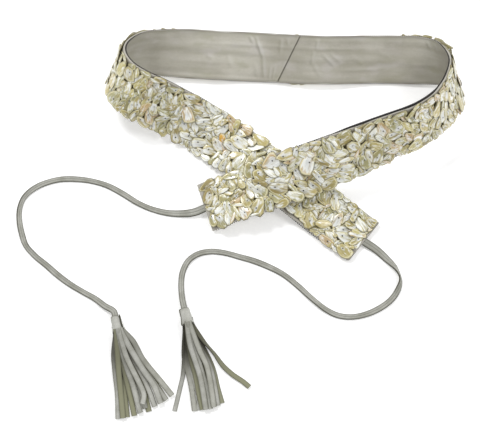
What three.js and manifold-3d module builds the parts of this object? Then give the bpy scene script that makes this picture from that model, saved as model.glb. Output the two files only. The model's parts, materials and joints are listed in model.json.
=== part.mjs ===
// Sash belt of soft leather with a field of shell chips on its outer face.
// It lies in a loop on its lower edge, the two ends crossed in front,
// with a flat leather tie and a tassel at each end.
// Millimetres, +Z up, +X to the right, +Y towards the back of the loop.

import * as THREE from 'three';
import { mergeVertices } from 'three/addons/utils/BufferGeometryUtils.js';
import Module from 'manifold-3d';

const wasm = await Module();
wasm.setup();

// The band: two leather walls that lie on each other
const BAND = {
  width: 50, // edge to edge
  leather: 1.2, // outer wall
  lining: 1.0, // inner wall
  gap: 0.3, // between the walls
  panels: 2, // flat panels across each wall
  liningInset: 0.5, // the lining stops this far inside each edge
  seamGap: 0.3, // between the two lengths of lining
  seamTop: 15, // where the slanted seam meets the upper edge, right of the back's middle
  seamFoot: -8, // where it meets the lower edge
  seamReach: 60, // the slant dies out over this length on each side
  seamClear: 3, // least length from the seam to the lining's next edge
};

// The middle of the back: where it lies and how it leans, in degrees
const BACK = { x: 47, y: 171, z: 20, lean: 41, yaw: -10.5, roll: -11 };

// Each arm of the band from the middle of the back to its end, a row for each stretch:
// its length, how far it bends towards the lining, and how far it twists, in degrees
const LEFT_ARM = [
  { run: 70, bend: 19, twist: 18 },
  { run: 70, bend: 16, twist: -31 },
  { run: 35, bend: 35, twist: -20 },
  { run: 35, bend: 79, twist: -5 },
  { run: 35, bend: 60, twist: -25 },
  { run: 35, bend: -10, twist: 7 },
  { run: 60, bend: -37, twist: -23 },
  { run: 60, bend: -1, twist: -29 },
  { run: 60, bend: 12, twist: 18 },
  { run: 52, bend: -11, twist: -8 },
];
const RIGHT_ARM = [
  { run: 70, bend: -25, twist: 4 },
  { run: 70, bend: 18, twist: -1 },
  { run: 35, bend: 56, twist: 29 },
  { run: 35, bend: 50, twist: 5 },
  { run: 35, bend: 25, twist: -8 },
  { run: 35, bend: 28, twist: 4 },
  { run: 60, bend: -2, twist: 14 },
  { run: 60, bend: 9, twist: 16 },
  { run: 60, bend: 0, twist: 34 },
  { run: 38, bend: 8, twist: -9 },
];
const WALK = { step: 5, blend: 20 };

// Shell chips, packed edge to edge in staggered rows, each a pebble with a raised crown
const CHIPS = {
  columns: 72,
  rows: 5,
  stray: 2.1, // how far a corner may wander along the band and across it
  overhang: 1.4, // how far the outermost corners may pass the band's edge
  valley: 0.3, // height of the joints between chips over the leather
  height: [1.5, 2.6],
  crown: [0.5, 0.68], // the crown's size over the outline's
  slide: 0.8, // how far a crown may sit off its outline's middle
  seed: 7,
};

// Ties: flat lace, with its routes over the table: x, y and the height of its middle
const TIE = { width: 5, thickness: 2, clear: 0.3, straight: 6, pace: 10 };
const LEFT_TIE_ROUTE = [
  { x: -45, y: 5, z: 3.4 },
  { x: -56, y: 4, z: 1.8 },
  { x: -73, y: 5, z: 1.1 },
  { x: -88, y: 9, z: 1.1 },
  { x: -103, y: 16, z: 1.1 },
  { x: -118, y: 26, z: 1.1 },
  { x: -134, y: 35, z: 1.1 },
  { x: -150, y: 40, z: 1.1 },
  { x: -165, y: 42, z: 1.1 },
  { x: -181, y: 42, z: 1.1 },
  { x: -196, y: 38, z: 1.1 },
  { x: -208, y: 31, z: 1.1 },
  { x: -217, y: 21, z: 1.1 },
  { x: -220.5, y: 9, z: 1.1 },
  { x: -220, y: -4, z: 1.1 },
  { x: -217, y: -17, z: 1.1 },
  { x: -212, y: -30, z: 1.1 },
  { x: -203, y: -40.5, z: 1.1 },
  { x: -191, y: -50.5, z: 1.1 },
  { x: -178, y: -62, z: 1.1 },
  { x: -166, y: -71, z: 1.1 },
  { x: -153, y: -79, z: 1.1 },
  { x: -141, y: -86, z: 1.5 },
  { x: -131, y: -94, z: 3 },
];
const RIGHT_TIE_ROUTE = [
  { x: 134, y: -34.5, z: 2.2 },
  { x: 145, y: -45, z: 1.2 },
  { x: 153, y: -55, z: 1.1 },
  { x: 157, y: -66, z: 1.1 },
  { x: 154.5, y: -76, z: 1.1 },
  { x: 147, y: -87, z: 1.1 },
  { x: 135, y: -96, z: 1.1 },
  { x: 121.5, y: -102, z: 1.1 },
  { x: 108, y: -104.5, z: 1.1 },
  { x: 95, y: -103, z: 1.1 },
  { x: 83, y: -97, z: 1.1 },
  { x: 70, y: -86, z: 1.1 },
  { x: 56, y: -72, z: 1.1 },
  { x: 43, y: -61, z: 1.1 },
  { x: 30, y: -53.5, z: 1.1 },
  { x: 15, y: -47, z: 1.1 },
  { x: -1, y: -42, z: 1.1 },
  { x: -15, y: -38, z: 1.1 },
  { x: -28.5, y: -36.5, z: 1.1 },
  { x: -41, y: -39, z: 1.1 },
  { x: -50.5, y: -46, z: 1.1 },
  { x: -56, y: -57, z: 1.1 },
  { x: -57.5, y: -70, z: 1.5 },
  { x: -56.5, y: -84, z: 3 },
];

// Tassels: a rolled head and strips that fall from it and spread over the table
const HEAD = { topRadius: 4.8, footRadius: 6.2, length: 16, sides: 12, lift: 0.4 };
const STRIP = { width: 4.6, thickness: 1.2, steps: 5, rootDepth: 3 };
const LEFT_TASSEL = {
  head: { x: -120.5, y: -106, heading: -76 },
  // Each strip's tip, how far its middle bows to its left, and the layer that it lies in
  strips: [
    { x: -116, y: -205, bow: -3, layer: 0 },
    { x: -110, y: -203, bow: 2, layer: 1 },
    { x: -105, y: -204, bow: -2, layer: 0 },
    { x: -99, y: -200, bow: 4, layer: 2 },
    { x: -96, y: -202, bow: 1, layer: 0 },
    { x: -91, y: -197, bow: 6, layer: 1 },
    { x: -85, y: -198, bow: 2, layer: 0 },
    { x: -82, y: -192, bow: 7, layer: 2 },
    { x: -77, y: -193, bow: 3, layer: 0 },
    { x: -73, y: -188, bow: 8, layer: 1 },
    { x: -68, y: -186, bow: 5, layer: 0 },
    { x: -63, y: -181, bow: 9, layer: 0 },
    { x: -93, y: -187, bow: 3, layer: 3 },
  ],
};
const RIGHT_TASSEL = {
  head: { x: -53.5, y: -98.5, heading: -76 },
  strips: [
    { x: -61, y: -198, bow: 2, layer: 0 },
    { x: -43, y: -198, bow: -5, layer: 1 },
    { x: -41, y: -197, bow: 1, layer: 0 },
    { x: -37, y: -198, bow: -3, layer: 2 },
    { x: -33, y: -196, bow: 2, layer: 0 },
    { x: -30, y: -195, bow: 5, layer: 1 },
    { x: -27, y: -194, bow: 1, layer: 0 },
    { x: -24, y: -192, bow: 5, layer: 2 },
    { x: -19, y: -191, bow: 3, layer: 0 },
    { x: -15, y: -188, bow: 6, layer: 1 },
    { x: -33, y: -185, bow: 4, layer: 3 },
    { x: 9, y: -175, bow: 6, layer: 0 },
  ],
};
const LAYER_RISE = 1.15;

const FINISH = {
  shell: { color: 0xcfc6a6, roughness: 0.35, metalness: 0 },
  lining: { color: 0xaca89b, roughness: 0.85, metalness: 0 },
  lace: { color: 0xa5a294, roughness: 0.8, metalness: 0 },
};

const UP = new THREE.Vector3(0, 0, 1);
const radians = THREE.MathUtils.degToRad;

// A repeatable stream of numbers from 0 to 1
function stream(seed) {
  let state = seed;
  return () => {
    state = (state * 48271) % 2147483647;
    return state / 2147483647;
  };
}

// Bend and twist at a place on an arm, averaged over the blend length around it
function ratesAt(rows, place) {
  const low = place - WALK.blend / 2;
  const high = place + WALK.blend / 2;
  let start = 0;
  let bend = 0;
  let twist = 0;
  let covered = 0;
  rows.forEach((row) => {
    const shared = Math.min(high, start + row.run) - Math.max(low, start);
    if (shared > 0) {
      bend += (row.bend / row.run) * shared;
      twist += (row.twist / row.run) * shared;
      covered += shared;
    }
    start += row.run;
  });
  return { bend: bend / covered, twist: twist / covered };
}

// The stations of one arm: point, along, across (to the upper edge) and out (to the chips)
function walkArm(rows, start) {
  const total = rows.reduce((sum, row) => sum + row.run, 0);
  const count = Math.ceil(total / WALK.step);
  const step = total / count;
  const stations = [{ ...start, at: 0, turn: 0 }];
  for (let i = 0; i < count; i += 1) {
    const last = stations[i];
    const rates = ratesAt(rows, (i + 0.5) * step);
    const inward = last.out.clone().negate();
    const turn = last.along
      .clone()
      .cross(inward)
      .multiplyScalar(radians(rates.bend * step))
      .addScaledVector(last.along, radians(rates.twist * step));
    const angle = turn.length();
    const spin = new THREE.Quaternion().setFromAxisAngle(turn.normalize(), angle);
    const along = last.along.clone().applyQuaternion(spin);
    const middle = last.along.clone().add(along).multiplyScalar(step / 2);
    stations.push({
      at: (i + 1) * step,
      turn: Math.abs(rates.bend * step),
      point: last.point.clone().add(middle),
      along,
      across: last.across.clone().applyQuaternion(spin),
      out: last.out.clone().applyQuaternion(spin),
    });
  }
  return stations;
}

// The whole band from the left arm's end to the right arm's end, measured from the back's middle
function walkBand() {
  const lean = radians(BACK.lean);
  const pose = new THREE.Quaternion()
    .setFromAxisAngle(UP, radians(BACK.yaw))
    .multiply(new THREE.Quaternion().setFromAxisAngle(new THREE.Vector3(0, 1, 0), radians(BACK.roll)));
  const along = new THREE.Vector3(1, 0, 0).applyQuaternion(pose);
  const across = new THREE.Vector3(0, Math.cos(lean), Math.sin(lean)).applyQuaternion(pose);
  const out = new THREE.Vector3(0, Math.sin(lean), -Math.cos(lean)).applyQuaternion(pose);
  const point = new THREE.Vector3(BACK.x, BACK.y, BACK.z);
  const right = walkArm(RIGHT_ARM, { point, along, across, out });
  const left = walkArm(LEFT_ARM, { point, along: along.clone().negate(), across, out });
  const mirrored = left.slice(1).reverse();
  mirrored.forEach((station) => {
    station.at = -station.at;
    station.along.negate();
  });
  return [...mirrored, ...right];
}

const band = walkBand();

// Place on the band: distance along it, height over its middle line, and depth out from between the walls
function bandPoint(at, over, out) {
  const last = band.length - 1;
  const after = Math.min(Math.max(band.findIndex((station) => station.at >= at), 1), last);
  const next = at > band[last].at ? last : after;
  const a = band[next - 1];
  const b = band[next];
  const t = (at - a.at) / (b.at - a.at);
  const across = a.across.clone().lerp(b.across, t).normalize();
  const outward = a.out.clone().lerp(b.out, t).normalize();
  return a.point.clone().lerp(b.point, t).addScaledVector(across, over).addScaledVector(outward, out);
}

// Distances along the band at which both walls get an edge: two for each column of chips
const bandStart = band[0].at;
const bandEnd = band[band.length - 1].at;
const halfColumns = 2 * CHIPS.columns;
const placeOf = (m) => THREE.MathUtils.lerp(bandStart, bandEnd, m / halfColumns);

// Faces of one side of a wall from its rows of vertices, every panel split along the same diagonal
function addPanels(index, rows, facing) {
  for (let m = 0; m + 1 < rows.length; m += 1) {
    for (let j = 0; j + 1 < rows[m].length; j += 1) {
      const [a, b, c, d] = [rows[m][j], rows[m][j + 1], rows[m + 1][j + 1], rows[m + 1][j]];
      if (facing > 0) index.push(a, b, c, a, c, d);
      else index.push(a, c, b, a, d, c);
    }
  }
}

// A closed geometry from rings of points, with flat ends
function ringSolid(rings) {
  const sides = rings[0].length;
  const positions = rings.flat().flatMap((point) => [point.x, point.y, point.z]);
  const index = [];
  for (let i = 0; i + 1 < rings.length; i += 1) {
    for (let k = 0; k < sides; k += 1) {
      const a = i * sides + k;
      const b = i * sides + ((k + 1) % sides);
      index.push(a, b, b + sides, a, b + sides, a + sides);
    }
  }
  const lastRing = (rings.length - 1) * sides;
  for (let k = 1; k + 1 < sides; k += 1) {
    index.push(0, k + 1, k);
    index.push(lastRing, lastRing + k, lastRing + k + 1);
  }
  const geometry = new THREE.BufferGeometry();
  geometry.setAttribute('position', new THREE.Float32BufferAttribute(positions, 3));
  geometry.setIndex(index);
  return geometry;
}

// A solid for joining, with its faces turned outwards
function solidOf(geometry) {
  const bare = geometry.clone();
  bare.deleteAttribute('normal');
  bare.deleteAttribute('uv');
  const merged = mergeVertices(bare, 1e-4);
  const corners = new Uint32Array(merged.index.array);
  const make = () =>
    new wasm.Manifold(
      new wasm.Mesh({ numProp: 3, vertProperties: merged.attributes.position.array, triVerts: corners }),
    );
  const solid = make();
  if (solid.volume() > 0) return solid;
  for (let i = 0; i < corners.length; i += 3) {
    [corners[i + 1], corners[i + 2]] = [corners[i + 2], corners[i + 1]];
  }
  return make();
}

// The outer skin of a joined solid, so that a pocket shut in between its pieces is filled
function geometryOf(solid) {
  const skins = solid.decompose();
  const outer = skins.reduce((best, skin) => (skin.volume() > best.volume() ? skin : best));
  const mesh = outer.getMesh();
  const geometry = new THREE.BufferGeometry();
  geometry.setAttribute('position', new THREE.BufferAttribute(mesh.vertProperties.slice(), 3));
  geometry.setIndex(new THREE.BufferAttribute(mesh.triVerts.slice(), 1));
  geometry.computeVertexNormals();
  return geometry;
}

function namedMesh(name, geometry, finish) {
  const mesh = new THREE.Mesh(geometry, new THREE.MeshStandardMaterial(finish));
  mesh.name = name;
  return mesh;
}

// The outer wall with its field of chips, as one closed mesh
function shellBand() {
  const positions = [];
  const index = [];
  const random = stream(CHIPS.seed);
  const between = ([low, high]) => low + (high - low) * random();
  const addPoint = (at, over, depth) => {
    const point = bandPoint(at, over, depth);
    positions.push(point.x, point.y, point.z);
    return positions.length / 3 - 1;
  };
  const half = BAND.width / 2;
  const under = BAND.gap / 2;
  const surface = under + BAND.leather;
  const valley = surface + CHIPS.valley;

  // Corners that neighbouring chips share, in lines along the band
  const corners = [];
  for (let line = 0; line <= CHIPS.rows; line += 1) {
    const lineOver = THREE.MathUtils.lerp(-half, half, line / CHIPS.rows);
    const side = line === 0 ? -1 : Number(line === CHIPS.rows);
    corners.push([]);
    for (let m = 0; m <= halfColumns; m += 1) {
      const atEnd = m === 0 || m === halfColumns;
      const wanderAt = atEnd ? 0 : between([-CHIPS.stray, CHIPS.stray]);
      const wanderOver = side === 0 ? between([-CHIPS.stray, CHIPS.stray]) : side * between([0, CHIPS.overhang]);
      const at = placeOf(m) + wanderAt;
      const over = lineOver + wanderOver;
      corners[line].push({ at, over, vertex: addPoint(at, over, side === 0 ? valley : surface) });
    }
  }

  const addChip = (outline) => {
    const middleAt = outline.reduce((sum, corner) => sum + corner.at, 0) / outline.length;
    const middleOver = outline.reduce((sum, corner) => sum + corner.over, 0) / outline.length;
    const scale = between(CHIPS.crown);
    const height = surface + between(CHIPS.height);
    const slideAt = between([-CHIPS.slide, CHIPS.slide]);
    const slideOver = between([-CHIPS.slide, CHIPS.slide]);
    const crown = outline.map((corner) =>
      addPoint(
        middleAt + slideAt + (corner.at - middleAt) * scale,
        middleOver + slideOver + (corner.over - middleOver) * scale,
        height,
      ),
    );
    outline.forEach((corner, k) => {
      const next = (k + 1) % outline.length;
      index.push(corner.vertex, outline[next].vertex, crown[next]);
      index.push(corner.vertex, crown[next], crown[k]);
      if (k > 1) index.push(crown[0], crown[k - 1], crown[k]);
    });
  };
  for (let row = 0; row < CHIPS.rows; row += 1) {
    const first = row % 2 === 0 ? 0 : -1;
    for (let m = first; m < halfColumns; m += 2) {
      const from = Math.max(m, 0);
      const to = Math.min(m + 2, halfColumns);
      const foot = corners[row].slice(from, to + 1);
      const head = corners[row + 1].slice(from, to + 1).reverse();
      addChip([...foot, ...head]);
    }
  }

  // The back of the leather, its two long edges and its two ends
  const back = [];
  for (let m = 0; m <= halfColumns; m += 1) {
    const line = [];
    for (let j = 0; j <= BAND.panels; j += 1) {
      line.push(addPoint(placeOf(m), THREE.MathUtils.lerp(-half, half, j / BAND.panels), under));
    }
    back.push(line);
  }
  const top = corners[CHIPS.rows];
  const foot = corners[0];
  const last = BAND.panels;
  addPanels(index, back, 1);
  for (let m = 0; m < halfColumns; m += 1) {
    const n = m + 1;
    index.push(foot[m].vertex, back[m][0], back[n][0], foot[m].vertex, back[n][0], foot[n].vertex);
    index.push(back[m][last], top[m].vertex, top[n].vertex, back[m][last], top[n].vertex, back[n][last]);
  }
  const closeEnd = (m, flip) => {
    const rim = corners.map((line) => line[m].vertex);
    const fan = [...rim, ...back[m].slice(1).reverse()];
    for (let k = 0; k + 1 < fan.length; k += 1) {
      const pair = flip ? [fan[k + 1], fan[k]] : [fan[k], fan[k + 1]];
      index.push(back[m][0], ...pair);
    }
  };
  closeEnd(0, false);
  closeEnd(halfColumns, true);

  const geometry = new THREE.BufferGeometry();
  geometry.setAttribute('position', new THREE.Float32BufferAttribute(positions, 3));
  geometry.setIndex(index);
  return geometryOf(solidOf(geometry));
}

// One length of lining, cut on the slant where it meets the other
function lining(side) {
  const half = BAND.width / 2 - BAND.liningInset;
  const middle = (BAND.seamTop + BAND.seamFoot) / 2;
  const slope = (BAND.seamTop - BAND.seamFoot) / BAND.width;
  const seam = middle + (side * BAND.seamGap) / 2;
  const places = [seam];
  for (let m = 0; m <= halfColumns; m += 1) {
    if ((placeOf(m) - seam) * side > BAND.seamClear) places.push(placeOf(m));
  }
  places.sort((a, b) => a - b);
  const positions = [];
  const index = [];
  const sheet = (depth) =>
    places.map((at) => {
      const near = Math.max(1 - Math.abs(at - seam) / BAND.seamReach, 0);
      const line = [];
      for (let j = 0; j <= BAND.panels; j += 1) {
        const over = THREE.MathUtils.lerp(-half, half, j / BAND.panels);
        const point = bandPoint(at + over * slope * near, over, depth);
        positions.push(point.x, point.y, point.z);
        line.push(positions.length / 3 - 1);
      }
      return line;
    });
  const outer = sheet(-BAND.gap / 2);
  const inner = sheet(-BAND.gap / 2 - BAND.lining);
  addPanels(index, outer, -1);
  addPanels(index, inner, 1);
  const last = BAND.panels;
  addPanels(index, outer.map((line, m) => [line[0], inner[m][0]]), 1);
  addPanels(index, outer.map((line, m) => [inner[m][last], line[last]]), 1);
  addPanels(index, [outer[0], inner[0]], 1);
  addPanels(index, [inner[places.length - 1], outer[places.length - 1]], 1);
  const geometry = new THREE.BufferGeometry();
  geometry.setAttribute('position', new THREE.Float32BufferAttribute(positions, 3));
  geometry.setIndex(index);
  return geometryOf(solidOf(geometry));
}

// A route whose cross-section keeps its flat side to the table
class LaceRoute extends THREE.CatmullRomCurve3 {
  computeFrenetFrames(segments) {
    const frames = { tangents: [], normals: [], binormals: [] };
    for (let i = 0; i <= segments; i += 1) {
      const tangent = this.getTangentAt(i / segments);
      const binormal = tangent.clone().cross(UP).normalize();
      frames.tangents.push(tangent);
      frames.binormals.push(binormal);
      frames.normals.push(binormal.clone().cross(tangent));
    }
    return frames;
  }
}

// A flat lace along a route, from the middle of a band end to the top of a tassel head
function tie(end, outward, route, head, floor) {
  const start = end.point.clone().addScaledVector(outward, TIE.clear);
  const neck = headFrame(head, floor);
  const points = [
    start,
    ...route.map((place) => new THREE.Vector3(place.x, place.y, place.z + floor)),
    neck.top.clone().addScaledVector(neck.along, -TIE.straight),
    neck.top.clone().addScaledVector(neck.along, -TIE.clear),
  ];
  const curve = new LaceRoute(points, false, 'centripetal');
  const section = new THREE.Shape();
  const halfWide = TIE.width / 2;
  const halfThick = TIE.thickness / 2;
  const corner = halfThick / 2;
  section.moveTo(-halfThick, -halfWide + corner);
  section.lineTo(-halfThick, halfWide - corner);
  section.lineTo(-halfThick + corner, halfWide);
  section.lineTo(halfThick - corner, halfWide);
  section.lineTo(halfThick, halfWide - corner);
  section.lineTo(halfThick, -halfWide + corner);
  section.lineTo(halfThick - corner, -halfWide);
  section.lineTo(-halfThick + corner, -halfWide);
  const steps = Math.round(curve.getLength() / TIE.pace);
  return new THREE.ExtrudeGeometry(section, { steps, extrudePath: curve, bevelEnabled: false });
}

// Where a tassel head lies: the middle of its top, the way it points, and its two cross directions
function headFrame(head, floor) {
  const heading = radians(head.heading);
  const rise = HEAD.footRadius - HEAD.topRadius;
  const top = new THREE.Vector3(head.x, head.y, floor + HEAD.lift + HEAD.topRadius);
  const along = new THREE.Vector3(
    Math.cos(heading) * HEAD.length,
    Math.sin(heading) * HEAD.length,
    rise,
  ).normalize();
  const sideways = new THREE.Vector3(-Math.sin(heading), Math.cos(heading), 0);
  return { top, along, sideways, upward: along.clone().cross(sideways) };
}

function headSolid(frame) {
  const ringAt = (distance, radius) => {
    const points = [];
    for (let k = 0; k < HEAD.sides; k += 1) {
      const a = (2 * Math.PI * (k + 0.5)) / HEAD.sides;
      points.push(
        frame.top
          .clone()
          .addScaledVector(frame.along, distance)
          .addScaledVector(frame.sideways, radius * Math.cos(a))
          .addScaledVector(frame.upward, radius * Math.sin(a)),
      );
    }
    return points;
  };
  return solidOf(
    ringSolid([
      ringAt(0, HEAD.topRadius),
      ringAt(HEAD.length * 0.4, HEAD.footRadius * 0.9),
      ringAt(HEAD.length, HEAD.footRadius),
    ]),
  );
}

// One strip: from inside the head's foot, down to its layer on the table, and out to its tip
function stripSolid(frame, strip, floor, spread) {
  const rootZ = frame.top.z + (strip.layer - 1.2) * LAYER_RISE;
  const root = frame.top
    .clone()
    .addScaledVector(frame.along, HEAD.length - STRIP.rootDepth)
    .addScaledVector(frame.sideways, spread * HEAD.footRadius * 0.55)
    .setZ(rootZ);
  const restZ = floor + STRIP.thickness / 2 + 0.1 + strip.layer * LAYER_RISE;
  const tip = new THREE.Vector3(strip.x, strip.y, restZ);
  const straight = tip.clone().sub(root).setZ(0);
  const left = new THREE.Vector3(-straight.y, straight.x, 0).normalize();
  const rings = [];
  for (let i = 0; i <= STRIP.steps; i += 1) {
    const t = i / STRIP.steps;
    const fall = Math.min(1, t * 2.5);
    const point = root
      .clone()
      .addScaledVector(straight, t)
      .addScaledVector(left, strip.bow * 4 * t * (1 - t));
    point.z = THREE.MathUtils.lerp(rootZ, restZ, fall * fall * (3 - 2 * fall));
    const forward = straight
      .clone()
      .addScaledVector(left, strip.bow * 4 * (1 - 2 * t))
      .normalize();
    const wide = new THREE.Vector3(-forward.y, forward.x, 0).multiplyScalar(STRIP.width / 2);
    const thick = UP.clone().multiplyScalar(STRIP.thickness / 2);
    rings.push([
      point.clone().sub(wide).sub(thick),
      point.clone().sub(wide).add(thick),
      point.clone().add(wide).add(thick),
      point.clone().add(wide).sub(thick),
    ]);
  }
  return solidOf(ringSolid(rings));
}

function tassel(table, floor) {
  const frame = headFrame(table.head, floor);
  let solid = headSolid(frame);
  table.strips.forEach((strip, i) => {
    const spread = (2 * i) / (table.strips.length - 1) - 1;
    solid = solid.add(stripSolid(frame, strip, floor, spread));
  });
  return geometryOf(solid);
}

// The belt is set down with the middle of its underside at the origin
const beltMeshes = [
  namedMesh('shell_band', shellBand(), FINISH.shell),
  namedMesh('lining_left', lining(-1), FINISH.lining),
  namedMesh('lining_right', lining(1), FINISH.lining),
];
const beltBox = new THREE.Box3();
beltMeshes.forEach((mesh) => beltBox.expandByObject(mesh, true));
const floor = beltBox.min.z;
const leftEnd = band[0];
const rightEnd = band[band.length - 1];
const tieMeshes = [
  namedMesh(
    'tie_left',
    tie(rightEnd, rightEnd.along, LEFT_TIE_ROUTE, LEFT_TASSEL.head, floor),
    FINISH.lace,
  ),
  namedMesh(
    'tie_right',
    tie(leftEnd, leftEnd.along.clone().negate(), RIGHT_TIE_ROUTE, RIGHT_TASSEL.head, floor),
    FINISH.lace,
  ),
];
const tasselMeshes = [
  namedMesh('tassel_left', tassel(LEFT_TASSEL, floor), FINISH.lace),
  namedMesh('tassel_right', tassel(RIGHT_TASSEL, floor), FINISH.lace),
];
const belt = new THREE.Group();
belt.add(...beltMeshes, ...tieMeshes, ...tasselMeshes);
belt.position.set(
  -(beltBox.min.x + beltBox.max.x) / 2,
  -(beltBox.min.y + beltBox.max.y) / 2,
  -floor,
);
const part = new THREE.Group();
part.add(belt);

export default part;
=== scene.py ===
"""Looks of a leather sash belt covered with shell chips, laid in a loop with its ends crossed.

Sizes in the tables are millimetres and degrees, finished pieces are in metres, +Z up.
"""

import json
import logging
import math
from dataclasses import dataclass, field
from enum import Enum

import bpy
import numpy as np
from mathutils import Matrix, Vector

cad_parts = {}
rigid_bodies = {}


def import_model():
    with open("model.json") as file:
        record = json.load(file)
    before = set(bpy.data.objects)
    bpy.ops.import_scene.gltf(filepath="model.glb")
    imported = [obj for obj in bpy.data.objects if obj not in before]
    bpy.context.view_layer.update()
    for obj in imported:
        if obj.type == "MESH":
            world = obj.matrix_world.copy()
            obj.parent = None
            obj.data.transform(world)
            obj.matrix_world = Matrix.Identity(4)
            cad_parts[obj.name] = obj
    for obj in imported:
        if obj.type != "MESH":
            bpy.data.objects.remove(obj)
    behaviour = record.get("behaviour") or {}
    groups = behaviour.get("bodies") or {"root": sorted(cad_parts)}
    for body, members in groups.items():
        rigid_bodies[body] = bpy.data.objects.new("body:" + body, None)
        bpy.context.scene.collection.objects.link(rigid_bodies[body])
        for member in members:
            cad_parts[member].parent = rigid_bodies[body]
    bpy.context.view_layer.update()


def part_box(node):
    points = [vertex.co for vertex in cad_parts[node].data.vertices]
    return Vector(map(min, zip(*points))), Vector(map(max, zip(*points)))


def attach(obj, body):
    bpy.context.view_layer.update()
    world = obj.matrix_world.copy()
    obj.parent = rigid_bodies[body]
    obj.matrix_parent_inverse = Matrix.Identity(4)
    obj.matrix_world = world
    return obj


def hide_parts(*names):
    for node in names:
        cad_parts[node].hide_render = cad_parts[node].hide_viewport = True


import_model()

log = logging.getLogger("belt")
Array = np.ndarray
Colour = tuple[int, int, int]
Socket = bpy.types.NodeSocket
MM = 0.001
UP = np.array([0.0, 0.0, 1.0])
BODY = "root"


# Small sums on vectors, lines and colours


def unit(vectors: Array) -> Array:
    """The vectors at length one."""
    return vectors / np.linalg.norm(vectors, axis=-1, keepdims=True)


def turned(vector: Array, turn: Array) -> Array:
    """A vector turned about an axis.

    Args:
        vector: what is turned.
        turn: the axis, as long as the angle in radians.

    Returns:
        The turned vector.
    """
    angle = float(np.linalg.norm(turn))
    if angle < 1e-12:
        return vector
    axis = turn / angle
    level = vector * math.cos(angle) + np.cross(axis, vector) * math.sin(angle)
    return level + axis * float(axis @ vector) * (1 - math.cos(angle))


def smooth(t: Array) -> Array:
    """A soft step from 0 to 1 as t goes from 0 to 1."""
    held = np.clip(t, 0.0, 1.0)
    return held * held * (3 - 2 * held)


def run_along(line: Array) -> Array:
    """How far along a line each of its points lies."""
    return np.concatenate([[0], np.cumsum(np.linalg.norm(np.diff(line, axis=0), axis=1))])


@dataclass(frozen=True)
class Swell:
    """A soft hump along a length: its middle, its reach and its height."""

    middle: float
    reach: float
    height: float = 1.0

    def over(self, at: Array) -> Array:
        """The hump's height at places along the length."""
        return self.height * np.exp(-(((at - self.middle) / self.reach) ** 2))


def channel(value: int) -> float:
    """One channel of a screen colour, from 0 to 255, as a linear share."""
    share = value / 255
    return share / 12.92 if share <= 0.04045 else ((share + 0.055) / 1.055) ** 2.4


def linear(colour: Colour) -> tuple[float, ...]:
    """A screen colour as Blender's linear values, with a full alpha."""
    return *(channel(value) for value in colour), 1.0


# The band's shape, row by row


@dataclass(frozen=True)
class Stretch:
    """A length of an arm with its bend towards the lining and its twist."""

    run: float
    bend: float
    twist: float


LEFT_ARM = (
    Stretch(run=70, bend=19, twist=18),
    Stretch(run=70, bend=16, twist=-31),
    Stretch(run=35, bend=35, twist=-20),
    Stretch(run=35, bend=79, twist=-5),
    Stretch(run=35, bend=60, twist=-25),
    Stretch(run=35, bend=-10, twist=7),
    Stretch(run=60, bend=-37, twist=-23),
    Stretch(run=60, bend=-1, twist=-29),
    Stretch(run=60, bend=12, twist=18),
    Stretch(run=52, bend=-11, twist=-8),
)
RIGHT_ARM = (
    Stretch(run=70, bend=-25, twist=4),
    Stretch(run=70, bend=18, twist=-1),
    Stretch(run=35, bend=56, twist=29),
    Stretch(run=35, bend=50, twist=5),
    Stretch(run=35, bend=25, twist=-8),
    Stretch(run=35, bend=28, twist=4),
    Stretch(run=60, bend=-2, twist=14),
    Stretch(run=60, bend=9, twist=16),
    Stretch(run=60, bend=0, twist=34),
    Stretch(run=38, bend=8, twist=-9),
)


@dataclass(frozen=True)
class BandSizes:
    """Widths, walls and seam of the band, and how it is walked."""

    width: float = 50
    leather: float = 1.2
    lining: float = 1.0
    gap: float = 0.3
    lining_inset: float = 0.5
    seam_gap: float = 0.3
    seam_top: float = 15
    seam_foot: float = -8
    seam_reach: float = 60
    step: float = 5
    blend: float = 20
    columns: int = 144


@dataclass(frozen=True)
class BackPose:
    """Where the middle of the back lies and how it leans."""

    x: float = 47
    y: float = 171
    z: float = 20
    lean: float = 41
    yaw: float = -10.5
    roll: float = -11


class Side(Enum):
    """The two arms of the band, with the sign of their distances from the middle of the back."""

    LEFT = -1
    RIGHT = 1


@dataclass
class Frames:
    """Points of the band's middle surface with their three directions, a row for each place."""

    point: Array
    along: Array
    across: Array
    out: Array


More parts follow.
